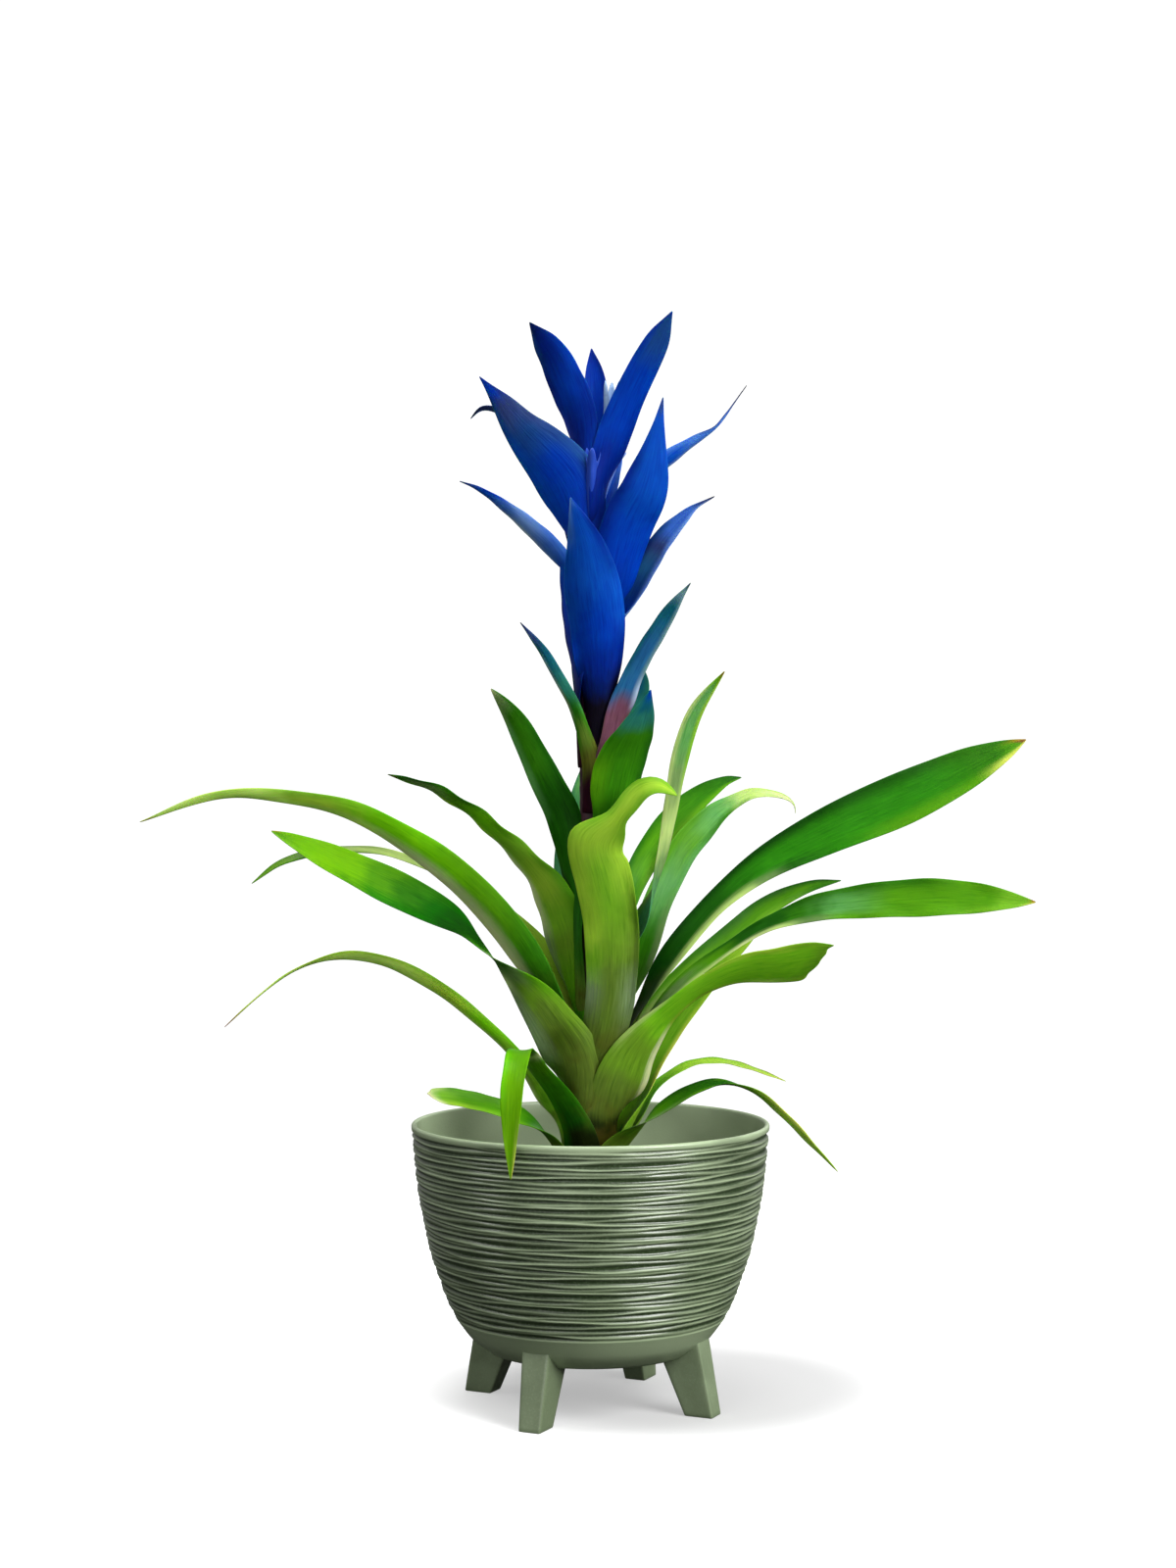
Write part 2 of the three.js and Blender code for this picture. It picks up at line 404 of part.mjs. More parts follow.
function bladeGeometry(leaf, thickness, step, grow = 0) {
  const curve = ribCurve(leaf);
  const angle = radians(leaf.az);
  const sideways = new THREE.Vector3(-Math.sin(angle), Math.cos(angle), 0);
  const down = new THREE.Vector3(0, 0, -1);
  const length = curve.getLength();
  const rows = Math.max(6, Math.round(length / (leaf.step ?? step)));
  const outer = [];
  const inner = [];
  for (let i = 0; i <= rows; i += 1) {
    const t = i / rows;
    const place = curve.getPointAt(t);
    const ahead = curve.getTangentAt(t);
    const lie = radians(leaf.lie ? curvedAlong(leaf.lie, t) : 0);
    const level = sideways.clone().multiplyScalar(Math.cos(lie)).addScaledVector(down, Math.sin(lie));
    const across = level.clone().addScaledVector(ahead, -level.dot(ahead)).normalize();
    const turn = leaf.turn ? curvedAlong(leaf.turn, t) : 0;
    across.applyAxisAngle(ahead, radians(turn));
    const inward = ahead.clone().cross(across).normalize();
    if (leaf.shift) place.addScaledVector(across, curvedAlong(leaf.shift, t));
    const { width, half } = bladeSection(leaf, t, length);
    const radius = width / (2 * half);
    const wider = half * ((width + 2 * grow) / width);
    if (i === 0) place.addScaledVector(ahead, -grow);
    if (i === rows) place.addScaledVector(ahead, grow);
    for (let j = 0; j <= ACROSS; j += 1) {
      const bend = wider * (2 * (j / ACROSS) - 1);
      const middle = place.clone()
        .addScaledVector(across, radius * Math.sin(bend))
        .addScaledVector(inward, radius * (1 - Math.cos(bend)));
      const normal = across.clone().multiplyScalar(-Math.sin(bend))
        .addScaledVector(inward, Math.cos(bend));
      const away = thickness / 2 + grow;
      outer.push(middle.clone().addScaledVector(normal, -away).toArray());
      inner.push(middle.clone().addScaledVector(normal, away).toArray());
    }
  }
  const size = ACROSS + 1;
  const shift = outer.length;
  const triangles = [];
  for (let i = 0; i < rows; i += 1) {
    for (let j = 0; j < ACROSS; j += 1) {
      const a = i * size + j;
      const b = a + 1;
      const c = a + size;
      const d = c + 1;
      triangles.push([a, b, d], [a, d, c]);
      triangles.push([a + shift, d + shift, b + shift], [a + shift, c + shift, d + shift]);
    }
    const l = i * size;
    const r = l + ACROSS;
    triangles.push([l, l + size + shift, l + shift], [l, l + size, l + size + shift]);
    triangles.push([r, r + size + shift, r + size], [r, r + shift, r + size + shift]);
  }
  const e = rows * size;
  for (let j = 0; j < ACROSS; j += 1) {
    const k = j + 1;
    triangles.push([j, k + shift, k], [j, j + shift, k + shift]);
    triangles.push([e + j, e + k + shift, e + j + shift], [e + j, e + k, e + k + shift]);
  }
  return geometryOf([...outer, ...inner], triangles);
}

// Pot shell: ridges that wander, meet and part again as they go round

function circleAt(height, radius, sides = POT_SIDES) {
  const points = [];
  for (let j = 0; j < sides; j += 1) {
    const a = (j / sides) * 2 * Math.PI;
    points.push([radius * Math.cos(a), radius * Math.sin(a), height]);
  }
  return points;
}

function ridgeRing(index) {
  const spacing = (RIDGE_HIGHEST - RIDGE_LOWEST) / (2 * RIDGE_COUNT);
  const isGroove = index % 2 === 0;
  return circleAt(0, 1).map(([x, y]) => {
    const angle = Math.atan2(y, x);
    const wander = Math.sin(2 * angle + index * 1.9) * 0.5
      + Math.sin(3 * angle + index * 4.1 + 1) * 0.3
      + Math.sin(5 * angle - index * 2.3) * 0.2;
    const height = RIDGE_LOWEST + index * spacing + wander * RIDGE_WANDER;
    const swell = 0.65 + 0.35 * Math.sin(2 * angle + index * 2.7);
    const radius = along(POT_PROFILE, height) - (isGroove ? RIDGE_DEPTH * swell : 0);
    return [radius * x, radius * y, height];
  });
}

function potGeometry() {
  const rings = POT_PROFILE.filter(([height]) => height < POT_SMOOTH_TOP)
    .map(([height, radius]) => circleAt(height, radius));
  for (let i = 1; i < 2 * RIDGE_COUNT; i += 1) rings.push(ridgeRing(i));
  const lip = POT_WALL / 2; // the rim is rounded over the whole wall
  rings.push(circleAt(POT_RIM_HEIGHT - 1.2 * lip, POT_RIM_RADIUS));
  rings.push(circleAt(POT_RIM_HEIGHT - 0.3 * lip, POT_RIM_RADIUS - 0.3 * lip));
  rings.push(circleAt(POT_RIM_HEIGHT, POT_RIM_RADIUS - lip));
  rings.push(circleAt(POT_RIM_HEIGHT - 0.3 * lip, POT_RIM_RADIUS - 1.7 * lip));
  for (const height of POT_INSIDE_HEIGHTS) {
    rings.push(circleAt(height, along(POT_PROFILE, height) - POT_WALL));
  }
  rings.push(circleAt(POT_FLOOR_HEIGHT, POT_FLOOR_RADIUS));
  return skinRings(rings);
}

// A turned body from [radius, height] points, its axis upright
function turned(profile, sides) {
  const points = profile.map(([radius, height]) => new THREE.Vector2(radius, height));
  const lathe = new THREE.LatheGeometry(points, sides);
  lathe.rotateX(Math.PI / 2);
  return lathe;
}

function soilGeometry() {
  const inside = POT_INSIDE_HEIGHTS.filter((height) => height < SOIL_EDGE_HEIGHT);
  const wall = [...inside.reverse(), SOIL_EDGE_HEIGHT].map((height) => {
    const low = height === inside[0];
    // The lowest row stands a little higher and further in, as the bowl curves fast there
    return [along(POT_PROFILE, height) - POT_WALL - CLEARANCE * (low ? 3 : 2), height + (low ? 0.4 : 0)];
  });
  const bottom = POT_FLOOR_HEIGHT + CLEARANCE;
  const holeRadius = STEM_PROFILE[1][1] + CLEARANCE;
  const holeFloor = STEM_PROFILE[0][0] - CLEARANCE;
  return turned([
    [0, bottom], [POT_FLOOR_RADIUS - CLEARANCE, bottom], ...wall, SOIL_SHOULDER, SOIL_CROWN,
    [holeRadius, SOIL_MOUND_HEIGHT], [holeRadius, holeFloor], [0, holeFloor],
  ], POT_SIDES);
}

// The stem. grow adds air round it, as it does for the flowers and the leaves.
function stemGeometry(grow = 0) {
  const [topHeight] = STEM_PROFILE[STEM_PROFILE.length - 1];
  const side = STEM_PROFILE.map(([height, radius]) => [radius + grow, height]);
  return turned([[0, STEM_PROFILE[0][0]], ...side, [0, topHeight + 1 + grow]], STEM_SIDES);
}

// One foot, its sole flat on the floor. The bowl is cut out of its head.

function footGeometry(azimuth) {
  const angle = radians(azimuth);
  const outline = ({ height, radius, across, deep }) => {
    const a = across / 2;
    const d = deep / 2;
    const c = FOOT_CORNER;
    return [
      [d, c - a], [d, a - c], [d - c, a], [c - d, a],
      [-d, a - c], [-d, c - a], [c - d, -a], [d - c, -a],
    ].map(([deepAt, acrossAt]) => [
      (radius + deepAt) * Math.cos(angle) - acrossAt * Math.sin(angle),
      (radius + deepAt) * Math.sin(angle) + acrossAt * Math.cos(angle),
      height,
    ]);
  };
  return skinRings([outline(FOOT_SOLE), outline(FOOT_HEAD)]);
}

// Flower: a slim tube with three lobes that close over its mouth

function flowerGeometry(flower, grow = 0) {
  const curve = ribCurve(flower);
  const rings = [];
  for (let i = 0; i <= FLOWER_ROWS; i += 1) {
    const t = i / FLOWER_ROWS;
    const place = curve.getPointAt(t);
    const ahead = curve.getTangentAt(t);
    const across = new THREE.Vector3(0, 0, 1).cross(ahead).normalize();
    const inward = ahead.clone().cross(across).normalize();
    const closing = i === FLOWER_ROWS ? 0.55 : 1;
    const radius = mix(FLOWER_NECK, FLOWER_MOUTH, smooth(t / 0.7)) * closing + grow;
    rings.push(circleAt(0, radius, FLOWER_SIDES).map(([x, y], j) => {
      const lobe = 1 + FLOWER_LOBE * t * Math.cos((3 * j * 2 * Math.PI) / FLOWER_SIDES);
      return place.clone().addScaledVector(across, x * lobe).addScaledVector(inward, y * lobe)
        .toArray();
    }));
  }
  return skinRings(rings);
}

// Assembly

const LOOKS = {
  pot: { color: 0x7f8f6c, roughness: 0.55, metalness: 0 },
  soil: { color: 0x2a1a12, roughness: 0.95, metalness: 0 },
  stem: { color: 0x3a1020, roughness: 0.5, metalness: 0 },
  leaf: { color: 0x4f8f1c, roughness: 0.35, metalness: 0 },
  bract: { color: 0x0b3fa8, roughness: 0.35, metalness: 0 },
  greenBract: { color: 0x3c8a2a, roughness: 0.35, metalness: 0 },
  flower: { color: 0x9fc4ea, roughness: 0.5, metalness: 0 },
};

const plant = new THREE.Group();
plant.name = 'potted_guzmania';

function addPiece(name, solid, look) {
  const mesh = new THREE.Mesh(geometryOfSolid(solid), new THREE.MeshStandardMaterial(look));
  mesh.name = name;
  plant.add(mesh);
}

// Pot, feet, soil, stem and flowers

addPiece('pot', solidOf(potGeometry()), LOOKS.pot);

const bowl = solidOf(skinRings(POT_PROFILE.filter(([height]) => height <= FOOT_REACH)
  .map(([height, radius]) => circleAt(height - CLEARANCE, radius + CLEARANCE))));
FOOT_AZIMUTHS.forEach((azimuth, i) => {
  const foot = largestBody(solidOf(footGeometry(azimuth)).subtract(bowl));
  addPiece(`foot_${i + 1}`, foot, LOOKS.pot);
});

addPiece('soil', solidOf(soilGeometry()), LOOKS.soil);
addPiece('stem', solidOf(stemGeometry()), LOOKS.stem);
for (const flower of FLOWER_RIBS) {
  addPiece(flower.name, solidOf(flowerGeometry(flower)), LOOKS.flower);
}

// Leaves and bracts from the innermost out. Each one is cut back where it would run into the
// stem, a flower or a leaf that sits inside it, so that no two touch.

function boxesMeet(a, b) {
  const p = a.boundingBox();
  const q = b.boundingBox();
  return [0, 1, 2].every((k) => p.min[k] < q.max[k] && q.min[k] < p.max[k]);
}

function lookOf(name) {
  if (name === 'bract_front_green') return LOOKS.greenBract;
  return name.startsWith('bract') ? LOOKS.bract : LOOKS.leaf;
}

const blades = [
  ...LEAVES.map((leaf) => ({ leaf, thickness: LEAF_THICKNESS, step: LEAF_STEP })),
  ...BRACTS.map((leaf) => ({ leaf, thickness: BRACT_THICKNESS, step: BRACT_STEP })),
].sort((a, b) => b.leaf.rib[0][2] - a.leaf.rib[0][2]);

const cutters = [
  solidOf(stemGeometry(CUT_CLEARANCE)),
  ...FLOWER_RIBS.map((flower) => solidOf(flowerGeometry(flower, CUT_CLEARANCE))),
];
for (const { leaf, thickness, step } of blades) {
  let blade = solidOf(bladeGeometry(leaf, thickness, step));
  for (const cutter of cutters) {
    if (boxesMeet(blade, cutter)) blade = blade.subtract(cutter);
  }
  addPiece(leaf.name, largestBody(blade), lookOf(leaf.name));
  cutters.push(solidOf(bladeGeometry(leaf, thickness, step, CUT_CLEARANCE)));
}

export default plant;
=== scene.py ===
"""Looks of a potted guzmania: a rosette of green leaves and a spike of blue bracts in a ribbed
sage-green pot on four short feet. It is laid out as an add-on: one operator builds each piece
or group of like pieces, and one panel lists them. Sizes in the tables are in millimetres."""
import math
import random

import bpy
from mathutils import Matrix, Vector


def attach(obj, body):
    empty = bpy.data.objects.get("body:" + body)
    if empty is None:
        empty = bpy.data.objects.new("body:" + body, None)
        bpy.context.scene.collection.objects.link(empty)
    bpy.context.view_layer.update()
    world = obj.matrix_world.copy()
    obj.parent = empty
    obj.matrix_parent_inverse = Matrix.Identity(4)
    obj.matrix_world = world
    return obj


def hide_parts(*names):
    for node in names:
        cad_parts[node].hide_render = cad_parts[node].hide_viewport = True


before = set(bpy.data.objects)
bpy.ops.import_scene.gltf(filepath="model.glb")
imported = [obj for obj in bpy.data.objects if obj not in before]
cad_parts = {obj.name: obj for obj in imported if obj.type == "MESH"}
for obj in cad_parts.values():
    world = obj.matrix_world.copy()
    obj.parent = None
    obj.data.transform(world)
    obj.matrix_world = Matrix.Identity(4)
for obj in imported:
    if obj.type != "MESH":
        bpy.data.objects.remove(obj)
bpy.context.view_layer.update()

bl_info = {
    "name": "Potted guzmania",
    "version": (1, 0, 0),
    "blender": (4, 5, 0),
    "location": "3D View > Sidebar > Guzmania",
    "description": "Builds the looks of a potted guzmania with green leaves and blue bracts",
    "category": "Object",
}

MM = 0.001
WELD_REACH = 2e-6

# Pot: outside profile as [height, radius], from the flat base to the rim
POT_PROFILE = [
    [27, 45], [28.5, 52], [35, 61], [40.5, 65.2], [45, 68.4], [55, 73.5], [65, 77], [75, 80.5],
    [85, 83], [95, 85], [105, 87], [115, 88.3], [125, 89.3], [135, 90.1], [142, 90.5],
]
POT_RIM_HEIGHT = 142
POT_RIM_RADIUS = 90.5
POT_BASE_HEIGHT = 27
POT_FLOOR_HEIGHT = 31
POT_FLOOR_RADIUS = 46
POT_BASE_RINGS = (0, 15, 30, 41, 44)  # radii of the rings of faces in the flat base
POT_PLAIN_RINGS = (0.25, 0.8, 1.5, 3, 5, 7.5, 10, 12.5, 15, 16.8)  # heights above the base
POT_LIP_STEPS = 8
POT_INSIDE_STEPS = 24
RIDGED_FROM = 44.5  # height at which the fine rows of faces start
RIDGE_LOWEST = 46.0
RIDGE_HIGHEST = 139.6
RIDGE_ROW = 0.42  # height of a row of faces where the pot is ridged
RIDGE_CREST_WIDTH = 1.55  # half-width of a ridge's rounded crest
RIDGE_FADE = 1.6  # height over which the ridges come in at both ends
RIDGE_EARLY = 1.2  # how far under the lowest ridge they start to come in
# What makes a ridge stray, and swell, as it goes round: [share, waves round the pot, turn of
# the wave from one ridge to the next, start of the wave]
RIDGE_SWAYS = [[0.5, 2, 1.9, 0], [0.33, 3, 4.1, 1], [0.27, 5, -2.3, 0], [0.16, 9, 1.3, 0],
               [0.1, 16, 2.9, 0]]
RIDGE_SWELLS = [[0.24, 4, 3.1, 0], [0.16, 7, 1.7, 0]]
RIDGE_DIP = 0.12  # share of its depth by which a crest sinks here and there

# Feet: four tapered blocks that lean outwards
FOOT_AZIMUTHS = [64.5, 154.5, 244.5, 334.5]
FOOT_SOLE = {"height": 0, "radius": 61.7, "across": 11.6, "deep": 15}
FOOT_HEAD = {"height": 44, "radius": 48, "across": 15.5, "deep": 26}
# A foot takes the pot's painted light at this groove depth: a little painted crest highlight
FOOT_PAINTED_LIGHT = 0.2  # a foot has the shade of a ridge's flank
FOOT_CUTS = 11  # cuts of each side of the block that a foot starts from
FOOT_HALF = (7, 10, 20)  # half of a foot across, deep and up, which its rounding is a share of
FOOT_SINK = 0.1  # gap between a foot's head and the bowl
FOOT_TRIES = 60

# Soil: a mound of bark, [radius, height] from the wall inwards
SOIL_TOP = [[85.2, 112], [60, 113.2], [36, 115.4], [15, 117]]
SOIL_BOTTOM = 31.4
SOIL_BOTTOM_RADIUS = 45.5
SOIL_EDGE_RADIUS = 84.6
SOIL_SIDE_RINGS = (43, 54, 74, 92, 108)  # heights of the rings of faces down its side
SOIL_GAP = 0.5
SOIL_SIDES = 120
SOIL_TOP_STEPS = 30
ROOT_HOLE_RADIUS = 13.4
ROOT_HOLE_FLOOR = 68
BARK_HEIGHT = 1.4
CHIP_LONG = (4, 10)
CHIP_WIDE = (2.5, 6)
CHIP_THICK = (1.2, 2.8)
CHIP_TILT = 0.4
CHIP_ROUGH = 0.45
CHIP_REACH = 84
CHIP_SEED = 7

# Stem: [height, radius] from the foot of the rootstock to the top of the spike
STEM_PROFILE = [
    [68, 11], [82, 13], [120, 13], [158, 9.1], [198, 5.4], [398, 5.4], [438, 4.6], [460, 3.4],
    [466, 1.9],
]
STEM_NODE_STEP = 7.5  # height between two rings on the stalk
STEM_NODE_HEIGHT = 0.35
STEM_NODE_HALF = 1.2
STEM_NODES_FROM = 200  # height above which the stalk has rings
STEM_FOOT = 68
STEM_ROW = 1.5
STEM_SHOULDER = 465.5
STEM_CAP = [[1.7, 466], [1.0, 466.7], [0, 467]]
STEM_SIDES = 40

# Leaves and bracts
LEAF_ROW = 5  # length of a row of faces
BRACT_ROW = 4
BLADE_COLUMNS = 12
BLADE_ROWS_LEAST = 24
SHEATH_LENGTH = 50  # over this length a leaf opens from its sheath to its own channel
CLASP_ANGLE = 1.2  # radians that a sheath wraps to each side of its midrib
TIP_CUP = 0.25  # half-angle of every channel at the tip
TIP_WIDTH = 0.5
LEAF_BLUNT = 1.7  # 2 for a rounded tip, 1 for a pointed one
BRACT_BLUNT = 1.1
MARGIN_THIN = 0.5  # share of the thickness left at the margins and at the tip
BLADE_RIPPLE = (0.35, 7)  # height of the waves of a margin, and how many there are
ROLL_FADES = (0.1, 0.12)  # shares of the length over which a roll comes in and goes out
SIDE_TURN = 25  # degrees of turn from which a blade shows its lower and upper margin
MARGIN_REACH = 0.36  # share of the width over which the shades of a margin run in
BRACT_NUMBERS = 40  # what the bracts' random draws start from, where the leaves' start from 0
# Light that passes through a blade: its share, how far each colour goes, and how deep
BLADE_LIGHT = 0.35
BLADE_LIGHT_COLOURS = (0.6, 1.0, 0.2)
BLADE_LIGHT_DEPTH = 0.0015

# Flowers
FLOWER_SIDES = 36
FLOWER_ROWS = 44
FLOWER_SKIN_ROWS = 30  # past these rows the skin turns down into the mouth
FLOWER_WALL = 0.35
FLOWER_NECK = 1.2
FLOWER_MOUTH = 3.2
FLOWER_LOBE = 0.2

# Stage, in metres: the flat part of the floor, the curve that leads up to its wall, and the
# length from the middle of the floor to the top of the wall
DISH_FLAT = 4
DISH_CURVE = 1.5
DISH_RUN = 9.5
DISH_SIDES = 72
DISH_ROWS = 60
# Round the pot the floor is painted greyer and glows less, a painted shadow patch up to these
# distances from the patch's middle, right of and behind the pot; plain white light further out
PATCH_MIDDLE = (0.05, 0.035, 0)
PATCH_EDGE = (0.07, 0.17)
WHITE_EDGE = (0.5, 1.0)
WHITE_POWER = 1.1
SHADOW_PATCH_GREY = (0.4, 0.4, 0.4, 1)
FAR_GLOW = 0.8  # how much more the floor glows outside the patch

# Lights: name, place, what it points at, size, and the setting that holds its power
LIGHTS = [
    ("key_light", (1.7, -1.5, 1.5), (0, 0, 0.25), 1.5, "key_power"),
    ("top_light", (-0.1, -0.2, 2.3), (0, 0, 0.2), 1.2, "top_power"),
    ("fill_light", (-0.8, -2.0, 0.55), (0, 0, 0.35), 1.2, "fill_power"),
    ("side_light", (-1.6, -0.25, 1.5), (0, 0, 0.1), 0.4, "side_power"),
    ("back_light", (0.9, 1.8, 1.2), (0, 0, 0.3), 1.5, "back_power"),
]

CAMERA_PLACE = (-0.00124, -1.2854, 0.309)
CAMERA_LENS = 58.3
CAMERA_SENSOR = 36
CAMERA_SHIFT = 0.005

